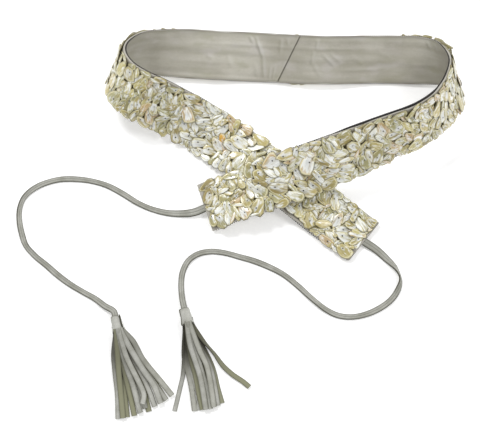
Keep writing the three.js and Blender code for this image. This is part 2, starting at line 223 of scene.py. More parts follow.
class BandPath:
    """The band as a strip of constant width, from the left arm's end to the right arm's end."""

    def __init__(self, sizes: BandSizes, back: BackPose) -> None:
        """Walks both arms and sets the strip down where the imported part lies.

        Args:
            sizes: the band's widths and steps.
            back: the pose of the middle of the back.
        """
        self.sizes = sizes
        yaw, roll, lean = (math.radians(a) for a in (back.yaw, back.roll, back.lean))
        pose = Matrix.Rotation(yaw, 3, "Z") @ Matrix.Rotation(roll, 3, "Y")
        directions = (
            (1, 0, 0),
            (0, math.cos(lean), math.sin(lean)),
            (0, math.sin(lean), -math.cos(lean)),
        )
        start = [np.array(pose @ Vector(d)) for d in directions]
        point = np.array([back.x, back.y, back.z], float)
        right = self._walk(RIGHT_ARM, point, start, Side.RIGHT)
        left = self._walk(LEFT_ARM, point, start, Side.LEFT)
        rows = left[:0:-1] + right
        self.at = np.array([row[0] for row in rows])
        self.stations = Frames(*(np.array([row[k] for row in rows]) for k in range(1, 5)))
        self.shift = self._set_down()
        self.stations.point = self.stations.point + self.shift

    def _rates(self, rows: tuple[Stretch, ...], place: float) -> tuple[float, float]:
        """Bend and twist for each millimetre, averaged over the blend length round a place.

        Args:
            rows: the arm's table.
            place: the distance from the middle of the back.

        Returns:
            The bend and the twist, in degrees.
        """
        low = place - self.sizes.blend / 2
        high = place + self.sizes.blend / 2
        start = bend = twist = covered = 0.0
        for row in rows:
            shared = min(high, start + row.run) - max(low, start)
            if shared > 0:
                bend += row.bend / row.run * shared
                twist += row.twist / row.run * shared
                covered += shared
            start += row.run
        return bend / covered, twist / covered

    def _walk(
        self, rows: tuple[Stretch, ...], point: Array, start: list[Array], side: Side
    ) -> list[tuple[float, Array, Array, Array, Array]]:
        """Walks one arm outwards from the middle of the back.

        Args:
            rows: the arm's table.
            point: where the walk starts.
            start: the directions along, across and out there.
            side: which arm it is.

        Returns:
            A row for each station: its place, its point and its directions.
        """
        sign = side.value
        total = sum(row.run for row in rows)
        count = math.ceil(total / self.sizes.step)
        step = total / count
        along, across, out = start[0] * sign, start[1], start[2]
        stations = [(0.0, point, along * sign, across, out)]
        for i in range(count):
            bend, twist = self._rates(rows, (i + 0.5) * step)
            turn = np.cross(along, -out) * math.radians(bend * step)
            turn = turn + along * math.radians(twist * step)
            before = along
            along, across, out = (turned(v, turn) for v in (along, across, out))
            point = point + (before + along) * step / 2
            stations.append(((i + 1) * step * sign, point, along * sign, across, out))
        return stations

    def frames(self, at: Array) -> Frames:
        """The middle surface's points and directions.

        Args:
            at: distances along the band.

        Returns:
            A row for each distance.
        """
        at = np.asarray(at, float)
        s = self.stations
        i = np.clip(np.searchsorted(self.at, at, side="right") - 1, 0, len(self.at) - 2)
        run = (self.at[i + 1] - self.at[i])[..., None]
        t = (at - self.at[i])[..., None] / run
        point = s.point[i] + run * (s.along[i] * (t - t * t / 2) + s.along[i + 1] * t * t / 2)
        mixed = (unit(v[i] * (1 - t) + v[i + 1] * t) for v in (s.along, s.across, s.out))
        return Frames(point, *mixed)

    def place(self, at: Array, over: Array, depth: Array) -> Array:
        """Points on the band or beside it.

        Args:
            at: distances along the band.
            over: heights over its middle line.
            depth: depths outwards from its middle surface.

        Returns:
            The points in the part's frame.
        """
        at, over, depth = np.broadcast_arrays(*(np.asarray(v, float) for v in (at, over, depth)))
        f = self.frames(at)
        return f.point + f.across * over[..., None] + f.out * depth[..., None]

    def slant(self, at: Array, over: Array) -> Array:
        """Moves places with the slanted seam, less and less away from it.

        Args:
            at: distances along the band.
            over: heights over its middle line.

        Returns:
            The moved distances.
        """
        z = self.sizes
        middle = (z.seam_top + z.seam_foot) / 2
        slope = (z.seam_top - z.seam_foot) / z.width
        near = np.maximum(1 - np.abs(at - middle) / z.seam_reach, 0)
        return at + over * slope * near

    def _set_down(self) -> Array:
        """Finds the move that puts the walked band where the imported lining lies.

        Returns:
            The move in millimetres.
        """
        z = self.sizes
        half = z.width / 2 - z.lining_inset
        places = np.linspace(self.at[0], self.at[-1], z.columns + 1)
        at, over, depth = np.meshgrid(
            places, (-half, 0, half), (-z.gap / 2, -z.gap / 2 - z.lining), indexing="ij"
        )
        walked = self.place(self.slant(at, over), over, depth).reshape(-1, 3)
        boxes = [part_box(node) for node in ("lining_left", "lining_right")]
        low = np.min([np.array(box[0]) for box in boxes], axis=0) / MM
        high = np.max([np.array(box[1]) for box in boxes], axis=0) / MM
        shift = (low + high - walked.min(0) - walked.max(0)) / 2
        log.info("band set down by %s mm", np.round(shift, 2))
        return shift


# Meshes


def linked(name: str, data: bpy.types.ID) -> bpy.types.Object:
    """A new object in the scene.

    Args:
        name: its plain name.
        data: the mesh, lamp or camera that it holds.

    Returns:
        The object.
    """
    piece = bpy.data.objects.new(name, data)
    bpy.context.scene.collection.objects.link(piece)
    return piece


class MeshParts:
    """Closed shells that gather into one mesh, with a map and masks at each point."""

    def __init__(self) -> None:
        """Starts empty."""
        self.points: list[Array] = []
        self.faces: list[tuple[int, ...]] = []
        self.lay: list[Array] = []
        self.masks: dict[str, list[Array]] = {}
        self.count = 0

    def add(
        self, points: Array, faces: list[tuple[int, ...]], lay: Array, **masks: Array
    ) -> None:
        """Adds one closed shell and turns its faces outwards.

        Args:
            points: its points in millimetres.
            faces: its faces, as rows of point numbers.
            lay: the map's two values at each point.
            masks: named values at each point.
        """
        if self._volume(points, faces) < 0:
            faces = [face[::-1] for face in faces]
        self.faces += [tuple(k + self.count for k in face) for face in faces]
        self.points.append(points)
        self.lay.append(lay)
        for name, values in masks.items():
            self.masks.setdefault(name, []).append(np.broadcast_to(values, len(points)))
        self.count += len(points)
    def add_rings(
        self, rings: Array, along: Array, across: Array, **masks: Array | float
    ) -> None:
        """Adds a closed tube made of rings of points.

        Args:
            rings: its points in millimetres, by ring and by place round the ring.
            along: the map's first value in millimetres, for each point or each ring.
            across: the map's second value, likewise.
            masks: named values, likewise.
        """
        shape = rings.shape[:2]
        lay = np.stack([np.broadcast_to(v, shape) for v in (along, across)], axis=-1) * MM
        flat = {name: np.broadcast_to(v, shape).reshape(-1) for name, v in masks.items()}
        self.add(rings.reshape(-1, 3), ring_faces(*shape), lay.reshape(-1, 2), **flat)

    @staticmethod
    def _volume(points: Array, faces: list[tuple[int, ...]]) -> float:
        """Six times the volume inside a shell.

        Args:
            points: its points.
            faces: its faces, as rows of point numbers.

        Returns:
            The volume, below zero where the faces point inwards.
        """
        corners = np.array([(f[0], f[k], f[k + 1]) for f in faces for k in range(1, len(f) - 1)])
        a, b, c = (points[corners[:, k]] - points.mean(0) for k in range(3))
        return float((a * np.cross(b, c)).sum())

    def build(self, name: str, material: bpy.types.Material, sharp: float = 40) -> bpy.types.Object:
        """Makes the Blender object.

        Args:
            name: its plain name.
            material: its finish.
            sharp: edges past this angle stay sharp.

        Returns:
            The object, at the origin, in metres.
        """
        points = np.concatenate(self.points) * MM
        mesh = bpy.data.meshes.new(name)
        mesh.from_pydata(points.tolist(), [], self.faces)
        mesh.shade_smooth()
        mesh.set_sharp_from_angle(angle=math.radians(sharp))
        corners = np.zeros(len(mesh.loops), np.int32)
        mesh.loops.foreach_get("vertex_index", corners)
        layer = mesh.uv_layers.new(name="lay")
        layer.data.foreach_set("uv", np.concatenate(self.lay)[corners].astype(np.float32).ravel())
        for mask, values in self.masks.items():
            attribute = mesh.attributes.new(mask, "FLOAT", "POINT")
            attribute.data.foreach_set("value", np.concatenate(values).astype(np.float32))
        mesh.materials.append(material)
        return linked(name, mesh)


def ring_faces(rings: int, sides: int) -> list[tuple[int, ...]]:
    """Faces of a closed tube, from rings of points and the two flat ends.

    Args:
        rings: how many rings it has.
        sides: how many points a ring has.

    Returns:
        The faces, as rows of point numbers.
    """
    faces: list[tuple[int, ...]] = []
    for i in range(rings - 1):
        for k in range(sides):
            a, b = i * sides + k, i * sides + (k + 1) % sides
            faces.append((a, b, b + sides, a + sides))
    last = (rings - 1) * sides
    faces.append(tuple(range(sides - 1, -1, -1)))
    faces.append(tuple(range(last, last + sides)))
    return faces


# Finishes


class NodeSheet:
    """A node tree with short calls to add nodes and join them."""

    def __init__(self, tree: bpy.types.NodeTree) -> None:
        """Works on that tree."""
        self.tree = tree

    def add(
        self, kind: str, inputs: dict[str | int, object] | None = None, **settings: object
    ) -> bpy.types.Node:
        """Adds a node.

        Args:
            kind: the node's type.
            inputs: values for its sockets, or sockets to join to them.
            settings: the node's own properties.

        Returns:
            The node.
        """
        node = self.tree.nodes.new(kind)
        for key, value in settings.items():
            setattr(node, key, value)
        for key, value in (inputs or {}).items():
            if isinstance(value, bpy.types.NodeSocket):
                self.tree.links.new(value, node.inputs[key])
            else:
                node.inputs[key].default_value = value
        return node

    def sum(self, operation: str, a: object, b: object = 0.0, clamp: bool = False) -> Socket:
        """The output of a sum of two values."""
        node = self.add("ShaderNodeMath", {0: a, 1: b}, operation=operation, use_clamp=clamp)
        return node.outputs[0]

    def mix(self, share: object, a: object, b: object, blend: str = "MIX") -> Socket:
        """Mixes two colours.

        Args:
            share: how much of the second colour there is.
            a: the first colour.
            b: the second colour.
            blend: how they are mixed.

        Returns:
            The output with the mixed colour.
        """
        values = {0: share, 6: a, 7: b}
        node = self.add(
            "ShaderNodeMix", values, data_type="RGBA", blend_type=blend, clamp_factor=True
        )
        return node.outputs[2]

    def span(
        self, value: object, low: float, high: float, to_low: float = 0, to_high: float = 1
    ) -> Socket:
        """Carries a value smoothly from one range to another and holds it at the ends.

        Args:
            value: the value.
            low: one end of its range.
            high: the other end.
            to_low: what the first end becomes.
            to_high: what the other end becomes.

        Returns:
            The output with the new value.
        """
        node = self.add(
            "ShaderNodeMapRange",
            {"Value": value, "From Min": low, "From Max": high, "To Min": to_low, "To Max": to_high},
            interpolation_type="SMOOTHSTEP",
        )
        return node.outputs[0]

    def attribute(self, name: str) -> Socket:
        """The value of a piece's own mask."""
        return self.add("ShaderNodeAttribute", attribute_name=name).outputs["Fac"]

    def lay(self) -> list[Socket]:
        """The two values of a piece's own map."""
        uv = self.add("ShaderNodeUVMap", uv_map="lay").outputs[0]
        return self.add("ShaderNodeSeparateXYZ", {0: uv}).outputs[:2]


def new_group(
    name: str, inputs: dict[str, tuple[str, object]], outputs: dict[str, str]
) -> NodeSheet:
    """An empty shader node group with its sockets.

    Args:
        name: the group's name.
        inputs: each input's socket type and its default.
        outputs: each output's socket type.

    Returns:
        The group's node sheet.
    """
    tree = bpy.data.node_groups.new(name, "ShaderNodeTree")
    for label, (kind, default) in inputs.items():
        socket = tree.interface.new_socket(label, in_out="INPUT", socket_type=kind)
        if default is not None:
            socket.default_value = default
    for label, kind in outputs.items():
        tree.interface.new_socket(label, in_out="OUTPUT", socket_type=kind)
    return NodeSheet(tree)


def new_growth(name: str, inputs: dict[str, str]) -> NodeSheet:
    """An empty geometry tree that grows pieces on a geometry and gives them a finish.

    Args:
        name: the tree's name.
        inputs: the kind of each input between the geometry and the finish.

    Returns:
        The tree's node sheet.
    """
    tree = bpy.data.node_groups.new(name, "GeometryNodeTree")
    tree.is_modifier = True
    for label, kind in {"Geometry": "Geometry", **inputs, "Finish": "Material"}.items():
        tree.interface.new_socket(label, in_out="INPUT", socket_type=f"NodeSocket{kind}")
    tree.interface.new_socket("Geometry", in_out="OUTPUT", socket_type="NodeSocketGeometry")
    return NodeSheet(tree)


def suede_group() -> bpy.types.NodeTree:
    """Mottled leather with a fine pebbled grain: a colour and a height.

    Returns:
        The node group.
    """
    sheet = new_group(
        "suede",
        {
            "Vector": ("NodeSocketVector", None),
            "Dark": ("NodeSocketColor", (0.2, 0.2, 0.2, 1)),
            "Light": ("NodeSocketColor", (0.5, 0.5, 0.5, 1)),
            "Mottle Scale": ("NodeSocketFloat", 60.0),
            "Grain Scale": ("NodeSocketFloat", 1400.0),
        },
        {"Color": "NodeSocketColor", "Height": "NodeSocketFloat"},
    )
    given = sheet.add("NodeGroupInput").outputs
    place = given["Vector"]
    patches = sheet.add(
        "ShaderNodeTexNoise", {"Vector": place, "Scale": given["Mottle Scale"], "Detail": 5.0}
    ).outputs[0]
    nap = sheet.add(
        "ShaderNodeTexNoise", {"Vector": place, "Scale": given["Grain Scale"], "Detail": 3.0}
    ).outputs[0]
    cells = sheet.add(
        "ShaderNodeTexVoronoi", {"Vector": place, "Scale": given["Grain Scale"]}
    ).outputs["Distance"]
    share = sheet.span(patches, 0.32, 0.68)
    colour = sheet.mix(share, given["Dark"], given["Light"])
    speck = sheet.span(nap, 0.3, 0.7, 0.86, 1.08)
    grey = sheet.add("ShaderNodeCombineColor", {0: speck, 1: speck, 2: speck}).outputs[0]
    result = sheet.mix(1.0, colour, grey, "MULTIPLY")
    height = sheet.sum("ADD", sheet.sum("MULTIPLY", cells, 0.6), sheet.sum("MULTIPLY", nap, 0.5))
    sheet.add("NodeGroupOutput", {"Color": result, "Height": height})
    return sheet.tree


def pearl_group() -> bpy.types.NodeTree:
    """Layers of mother-of-pearl: clouds and growth lines in a chip's own map.

    Returns:
        The node group.
    """
    sheet = new_group(
        "pearl",
        {
            "Chip": ("NodeSocketVector", None),
            "Tint": ("NodeSocketFloat", 0.5),
            "Cloud Scale": ("NodeSocketFloat", 1.6),
            "Line Scale": ("NodeSocketFloat", 1.35),
        },
        {"Cloud": "NodeSocketFloat", "Hue": "NodeSocketFloat", "Lines": "NodeSocketFloat"},
    )
    given = sheet.add("NodeGroupInput").outputs
    far = sheet.sum("MULTIPLY", given["Tint"], 61.0)
    clouds = sheet.add(
        "ShaderNodeTexNoise",
        {"Vector": given["Chip"], "W": far, "Scale": given["Cloud Scale"], "Detail": 4.0},
        noise_dimensions="4D",
    )
    lines = sheet.add(
        "ShaderNodeTexNoise",
        {"Vector": given["Chip"], "W": far, "Scale": given["Line Scale"], "Distortion": 1.5},
        noise_dimensions="4D",
    )
    parts = sheet.add("ShaderNodeSeparateColor", {0: clouds.outputs["Color"]}).outputs
    sheet.add(
        "NodeGroupOutput",
        {"Cloud": clouds.outputs[0], "Hue": parts[1], "Lines": lines.outputs[0]},
    )
    return sheet.tree


def new_material(name: str) -> tuple[bpy.types.Material, NodeSheet]:
    """An empty material and its node sheet.

    Args:
        name: the material's name.

    Returns:
        The material and the sheet.
    """
    material = bpy.data.materials.new(name)
    material.use_nodes = True
    material.node_tree.nodes.clear()
    return material, NodeSheet(material.node_tree)


def close_material(sheet: NodeSheet, shader: bpy.types.Node) -> None:
    """Joins the shader to the material's output."""
    sheet.add("ShaderNodeOutputMaterial", {"Surface": shader.outputs[0]})


@dataclass(frozen=True)
class Suede:
    """A leather finish: its grain in two tones, and an edge tone where a mask of the piece says."""

    name: str
    dark: Colour
    light: Colour
    edge: Colour = (0, 0, 0)
    edge_mask: str = ""
    mottle: float = 60
    grain: float = 1500
    bump: float = 0.25
    bump_depth: float = 0.0004
    roughness: float = 0.82
    sheen: float = 0.12

    def dress(self, sheet: NodeSheet, colour: Socket) -> Socket:
        """Lays the edge tone over a colour.

        Args:
            sheet: the material's node sheet.
            colour: the colour under it.

        Returns:
            The dressed colour.
        """
        if not self.edge_mask:
            return colour
        return sheet.mix(sheet.attribute(self.edge_mask), colour, linear(self.edge))

    def make(self, group: bpy.types.NodeTree) -> bpy.types.Material:
        """Builds the material, with its grain laid in the object's coordinates.

        Args:
            group: the suede group.

        Returns:
            The material.
        """
        material, sheet = new_material(self.name)
        values = {
            "Vector": sheet.add("ShaderNodeTexCoord").outputs["Object"],
            "Dark": linear(self.dark),
            "Light": linear(self.light),
            "Mottle Scale": self.mottle,
            "Grain Scale": self.grain,
        }
        grain = sheet.add("ShaderNodeGroup", values, node_tree=group).outputs
        relief = {"Strength": self.bump, "Distance": self.bump_depth, "Height": grain["Height"]}
        shader = sheet.add(
            "ShaderNodeBsdfPrincipled",
            {
                "Base Color": self.dress(sheet, grain["Color"]),
                "Roughness": self.roughness,
                "Sheen Weight": self.sheen,
                "Normal": sheet.add("ShaderNodeBump", relief).outputs[0],
            },
        )
        close_material(sheet, shader)
        return material


@dataclass(frozen=True)
class LiningSuede(Suede):
    """The lining's leather: bands and patches of its own tones, painted shade and highlight on the two
    sides of each crease, painted shade in the bends, and a dark line along the edges, partly the stitching
    and partly painted shade, which also runs along the seam.
    """

    name: str = "lining_suede"
    dark: Colour = (176, 172, 160)
    light: Colour = (194, 191, 180)
    # The dark line near both long edges: partly the stitching, partly painted shade in the gap beside it.
    # It also runs along the seam.
    edge: Colour = (70, 67, 58)
    edge_mask: str = "hem"
    mottle: float = 26
    grain: float = 1700
    bump: float = 0.15
    band: Colour = (154, 151, 133)
    moss: Colour = (160, 158, 136)
    warm: Colour = (193, 189, 185)
    # Painted shade on the side of each crease turned from the light, and painted highlight on the side
    # turned to it.
    crease: Colour = (122, 119, 104)
    crease_lit_side: Colour = (206, 206, 202)
    # Painted shade inside the two bends, laid by the shade mask.
    bend: Colour = (104, 99, 82)

    @staticmethod
    def clouds(sheet: NodeSheet, drawn: float, scale: float, detail: float) -> Socket:
        """Noise in the piece's own map, drawn out along the band.

        Args:
            sheet: the material's node sheet.
            drawn: the width of a cloud over its length.
            scale: how fine it is.
            detail: how many finer layers it has.

        Returns:
            The noise.
        """
        along, over = sheet.lay()
        place = {0: sheet.sum("MULTIPLY", along, drawn), 1: over, 2: 0.0}
        vector = sheet.add("ShaderNodeCombineXYZ", place).outputs[0]
        values = {"Vector": vector, "Scale": scale, "Detail": detail}
        return sheet.add("ShaderNodeTexNoise", values).outputs[0]

    def dress(self, sheet: NodeSheet, colour: Socket) -> Socket:
        """Lays the bands, the patches, the painted shade and highlight of the creases, the painted shade of
        the bends and the dark edge line over a colour.

        Args:
            sheet: the material's node sheet.
            colour: the colour under them.

        Returns:
            The dressed colour.
        """
        bands = self.clouds(sheet, 0.12, 110.0, 3.0)
        patches = self.clouds(sheet, 0.5, 60.0, 4.0)
        banded = sheet.mix(sheet.span(bands, 0.34, 0.68, 0, 0.42), colour, linear(self.band))
        mossy = sheet.mix(sheet.span(patches, 0.46, 0.3, 0, 0.5), banded, linear(self.moss))
        warm = sheet.mix(sheet.span(patches, 0.52, 0.68, 0, 0.5), mossy, linear(self.warm))
        # Painted shade and painted highlight on the two sides of each crease.
        crease_shaded = sheet.mix(sheet.attribute("fold"), warm, linear(self.crease))
        crease_lit_side = sheet.mix(sheet.attribute("raised"), crease_shaded, linear(self.crease_lit_side))
        shaded = sheet.mix(sheet.attribute("shade"), crease_lit_side, linear(self.bend))
        return super().dress(sheet, shaded)


@dataclass(frozen=True)
class FringeSuede(Suede):
    """The tassels' leather: a light face, an olive reverse, darker cut edges, partly their own tone and
    partly painted shade, and painted shade at the roots and inside the head.
    """

    name: str = "fringe_suede"
    dark: Colour = (164, 164, 155)
    light: Colour = (188, 188, 181)
    # The cut edges' darker tone: partly their own, partly painted shade along them.
    edge: Colour = (82, 80, 64)
    edge_mask: str = "rim"
    mottle: float = 80
    reverse: Colour = (140, 140, 114)
    # Painted shade at the strips' roots, under the upper layers and inside the head.
    deep: Colour = (62, 60, 48)

    def dress(self, sheet: NodeSheet, colour: Socket) -> Socket:
        """Lays the reverse, the darker cut edges and the painted shade at the roots and inside the head
        over a colour.

        Args:
            sheet: the material's node sheet.
            colour: the colour under them.

        Returns:
            The dressed colour.
        """
        back = sheet.mix(sheet.attribute("reverse"), colour, linear(self.reverse))
        cut = super().dress(sheet, back)
        # deep lays the painted shade at the roots and inside the head.
        return sheet.mix(sheet.attribute("deep"), cut, linear(self.deep))


@dataclass(frozen=True)
class Nacre:
    """The shell chips' finish: a pale pearly heart in a khaki ring, with painted light and shade. The heart
    is partly the nacre's own pale tone and partly a painted highlight pushed towards one side of each chip;
    that side of the bevel has a painted highlight, the streaks have painted glints, each chip's foot has
    painted shade, and its drilled hole has a dark tone for the thread and the shade in it.
    """

    name: str = "mother_of_pearl"
    # Painted shade: the dark tone along each chip's foot and side, laid by the rim mask.
    under: Colour = (78, 68, 38)
    # Painted highlight: the light tone on the lit side of each chip's bevel.
    rim: Colour = (246, 240, 198)
    groove: Colour = (166, 146, 84)
    # The drilled hole's dark tone: the thread in it and painted shade in the hole.
    hole: Colour = (34, 30, 20)
    # The heart's tones, white, lavender and cream: partly the nacre's own pale colours, partly painted
    # highlight.
    white: Colour = (250, 252, 246)
    # Painted highlight: white glints along the streaks.
    glint: Colour = (254, 254, 252)
    lavender: Colour = (230, 234, 232)
    cream: Colour = (238, 234, 202)
    roughness: tuple[float, float] = (0.16, 0.4)
    coat: float = 0.5
    tones: tuple[tuple[float, Colour], ...] = (
        (0.0, (190, 178, 118)),
        (0.13, (176, 164, 104)),
        (0.25, (202, 192, 130)),
        (0.38, (170, 164, 114)),
        (0.48, (204, 190, 132)),
        (0.58, (176, 172, 122)),
        (0.68, (202, 176, 130)),
        (0.78, (162, 148, 94)),
        (0.86, (192, 188, 142)),
        (0.95, (230, 178, 70)),
    )

    def tone(self, sheet: NodeSheet, tint: Socket) -> Socket:
        """A chip's own tone.

        Args:
            sheet: the material's node sheet.
            tint: the chip's random value.

        Returns:
            The tone whose stop lies below the tint.
        """
        ramp = sheet.add("ShaderNodeValToRGB", {0: tint})
        ramp.color_ramp.interpolation = "CONSTANT"
        stops = ramp.color_ramp.elements
        stops[0].position, stops[0].color = self.tones[0][0], linear(self.tones[0][1])
        stops[1].position, stops[1].color = self.tones[1][0], linear(self.tones[1][1])
        for position, tone in self.tones[2:]:
            stops.new(position).color = linear(tone)
        return ramp.outputs[0]

    def make(self, group: bpy.types.NodeTree) -> bpy.types.Material:
        """Builds the material.

        Args:
            group: the pearl group.

        Returns:
            The material.
        """
        material, sheet = new_material(self.name)
        chip = sheet.add("ShaderNodeUVMap", uv_map="lay").outputs[0]
        tint, pale, radial = (sheet.attribute(k) for k in ("tint", "pale", "radial"))
        layers = sheet.add("ShaderNodeGroup", {"Chip": chip, "Tint": tint}, node_tree=group)
        cloud, hue, lines = (layers.outputs[k] for k in ("Cloud", "Hue", "Lines"))

        # The pale heart: partly the nacre's own tone, partly a painted highlight, pushed towards the lit
        # side of each chip.
        cool = sheet.mix(sheet.span(hue, 0.52, 0.64), linear(self.white), linear(self.lavender))
        heart = sheet.mix(sheet.span(hue, 0.46, 0.36), cool, linear(self.cream))
        wander = sheet.sum("MULTIPLY", sheet.sum("SUBTRACT", cloud, 0.5), 2.6)
        side = sheet.add("ShaderNodeSeparateXYZ", {0: chip}).outputs
        # A direction for each chip that stands for its lit side: it moves the heart's painted highlight and
        # lights one side of the bevel.
        turn = sheet.sum("MULTIPLY", tint, 47.0)
        aside = sheet.sum("MULTIPLY", side[0], sheet.sum("MULTIPLY", sheet.sum("SINE", turn), 0.5))
        drift = sheet.sum("MULTIPLY", side[1], sheet.sum("MULTIPLY", sheet.sum("COSINE", turn), 0.28))
        lit_side = sheet.sum("ADD", aside, drift)
        shifted = sheet.sum("ADD", radial, lit_side)
        edge = sheet.sum("ADD", shifted, wander)
        away = sheet.sum("SUBTRACT", edge, sheet.sum("MULTIPLY", pale, 1.1))
        streak = sheet.span(lines, 0.4, 0.6, 0.3, -0.28)
        share = sheet.sum("ADD", sheet.span(away, 0.34, -0.2, 0, 0.96), streak, clamp=True)
        body = sheet.mix(share, self.tone(sheet, tint), heart)
        # Painted highlight along the lit side of the bevel.
        bevel = sheet.span(radial, 0.72, 0.84)
        lit = sheet.sum("MULTIPLY", bevel, sheet.span(lit_side, -0.15, 0.2, 0.15, 0.85))
        worn = sheet.sum("MULTIPLY", sheet.span(lines, 0.54, 0.64), sheet.span(radial, 0.2, 0.6, 0.1, 0.55))
        # Painted glints along the streaks, away from the rim.
        shine = sheet.sum("MULTIPLY", sheet.span(lines, 0.46, 0.38), sheet.span(radial, 0.8, 0.5, 0, 0.7))
        bright = sheet.mix(shine, body, linear(self.glint))
        grooved = sheet.mix(worn, bright, linear(self.groove))
        bevel_highlit = sheet.mix(lit, grooved, linear(self.rim))
        # Painted shade along each chip's foot, where chips meet and overlap.
        under = sheet.mix(sheet.attribute("rim"), bevel_highlit, linear(self.under))
        # The drilled hole painted dark, for the thread and the shade in it.
        drilled = sheet.mix(sheet.attribute("hole"), under, linear(self.hole))
        bump = sheet.add("ShaderNodeBump", {"Strength": 0.6, "Distance": 0.001, "Height": lines})
        shader = sheet.add(
            "ShaderNodeBsdfPrincipled",
            {
                "Base Color": drilled,
                "Roughness": sheet.span(cloud, 0.35, 0.65, *self.roughness),
                "IOR": 1.55,
                "Coat Weight": self.coat,
                "Coat Roughness": 0.14,
                "Normal": bump.outputs[0],
            },
        )
        close_material(sheet, shader)
        return material


# The outer leather's dark olive tones lie under the chips: partly the suede's own tone, partly painted
# shade in the gaps between chips. The edge tone on the margin mask is the bare leather's own grey-taupe.
OUTER_SUEDE = Suede(
    name="outer_suede",
    dark=(92, 84, 56),
    light=(118, 108, 74),
    edge=(178, 174, 164),
    edge_mask="margin",
)
# The lace's edge tone, laid by its rim mask: partly the darker cut edges, partly painted shade along them
# and in the middle groove.
LACE_SUEDE = Suede(
    name="lace_suede",
    dark=(158, 158, 148),
    light=(180, 180, 172),
    edge=(70, 68, 54),
    edge_mask="rim",
    mottle=90,
)
THREAD_SUEDE = Suede(name="dark_thread", dark=(26, 24, 24), light=(44, 41, 38), grain=5000)


class FinishRack:
    """Every finish, made once."""

    def __init__(self) -> None:
        """Builds the groups and the materials."""
        suede = suede_group()
        self.pearl = Nacre().make(pearl_group())
        self.outer = OUTER_SUEDE.make(suede)
        self.lining = LiningSuede().make(suede)
        self.lace = LACE_SUEDE.make(suede)
        self.fringe = FringeSuede().make(suede)
        self.thread = THREAD_SUEDE.make(suede)


# Sub-assemblies


@dataclass
class OuterLeather:
    """The outer wall: its face under the chips, and the hems turned over both long edges."""

    path: BandPath
    hem: float = 0.75
    hem_depth: float = 1.35
    pitch: float = 2.5
    face_points: int = 26
    bare: float = 3.6
    bare_end: float = 6.0
    rim: float = 0.95

    def profile(self) -> list[tuple[float, float, float]]:
        """The wall's outline across the band.

        Returns:
            For each point its height over the middle line, its depth and its margin mask.
        """
        z = self.path.sizes
        half = z.width / 2
        face = z.gap / 2 + z.leather
        back = z.gap / 2
        lip = -self.hem_depth
        under = -(z.gap / 2 + z.lining + 0.05)
        rows = np.linspace(-half + 1.0, half - 1.0, self.face_points)
        bare = smooth((np.abs(rows) - half + self.bare) / 1.6)
        outer = [(over, face, float(mask)) for over, mask in zip(rows, bare)]
        top = [
            (half - 0.3, face, 1.0),
            (half + 0.15, face - 0.5, 1.0),
            (half + 0.2, 0.0, 1.0),
            (half + 0.05, lip + 0.35, 1.0),
            (half - 0.4, lip, 1.0),
            (half - self.hem + 0.3, lip, 1.0),
            (half - self.hem, lip + 0.2, 0.75),
            (half - self.hem, under, 0.3),
            (half - 0.42, under, 0.0),
            (half - 0.42, back, 0.0),
        ]
        foot = [(-over, depth, margin) for over, depth, margin in reversed(top)]
        return outer + top + foot

    def build(self, material: bpy.types.Material) -> bpy.types.Object:
        """Builds the wall as one closed strip.

        Args:
            material: its finish.

        Returns:
            The finished piece.
        """
        over, depth, margin = (column[None] for column in np.array(self.profile()).T)
        start, end = self.path.at[0], self.path.at[-1]
        at = np.linspace(start, end, math.ceil((end - start) / self.pitch) + 1)[:, None]
        wobble = 0.25 * np.sin(at / 9.0) + 0.18 * np.sin(at / 4.1 + 1.0)
        rim = np.abs(over) > self.path.sizes.width / 2 - self.rim
        over = over + np.sign(over) * wobble * rim
        near_end = np.minimum(at - start, end - at)
        margin = np.maximum(margin, smooth((self.bare_end - near_end) / 2.5) * (depth > 1))
        parts = MeshParts()
        parts.add_rings(self.path.place(at, over, depth), at, over, margin=margin)
        return parts.build("outer_leather", material)


class ChipForm(Enum):
    """Outlines of the chips: width over length, squareness, and how far one end is drawn out."""

    PEBBLE = (0.7, 2.3, 0.14)
    OVAL = (0.54, 2.1, 0.16)
    DROP = (0.54, 1.9, 0.45)
    LEAF = (0.42, 1.6, 0.12)
    BAR = (0.38, 3.0, 0.06)
    BLOCK = (0.58, 3.0, 0.2)
    FAN = (0.7, 2.5, 0.38)
    SLIVER = (0.26, 1.8, 0.1)


@dataclass(frozen=True)
class EdgeReach:
    """How far chips reach past the band's top and foot edges at a place, below zero short of them."""

    at: float
    top: float
    foot: float


EDGE_REACHES = (
    EdgeReach(at=-512, top=-1.4, foot=1.6),
    EdgeReach(at=-482, top=0.4, foot=1.8),
    EdgeReach(at=-450, top=0.6, foot=-2.4),
    EdgeReach(at=-400, top=1.0, foot=1.5),
    EdgeReach(at=-345, top=2.4, foot=2.5),
    EdgeReach(at=-290, top=1.8, foot=4.0),
    EdgeReach(at=-235, top=1.4, foot=4.0),
    EdgeReach(at=-200, top=0.4, foot=4.5),
    EdgeReach(at=-165, top=1.6, foot=2.0),
    EdgeReach(at=-140, top=-1.2, foot=-1.0),
    EdgeReach(at=-10, top=-1.2, foot=-1.0),
    EdgeReach(at=12, top=-0.8, foot=2.4),
    EdgeReach(at=34, top=-1.2, foot=-1.0),
    EdgeReach(at=108, top=-1.0, foot=-1.0),
    EdgeReach(at=140, top=2.0, foot=0.0),
    EdgeReach(at=215, top=1.8, foot=3.0),
    EdgeReach(at=260, top=1.4, foot=3.0),
    EdgeReach(at=320, top=0.8, foot=3.0),
    EdgeReach(at=360, top=1.2, foot=2.5),
    EdgeReach(at=430, top=1.8, foot=1.8),
    EdgeReach(at=480, top=0.4, foot=2.6),
    EdgeReach(at=498, top=-1.4, foot=2.0),
)


def edge_reach(at: Array) -> tuple[Array, Array]:
    """How far chips reach past the top and the foot edge at places along the band."""
    rows = np.array([(row.at, row.top, row.foot) for row in EDGE_REACHES])
    return np.interp(at, rows[:, 0], rows[:, 1]), np.interp(at, rows[:, 0], rows[:, 2])


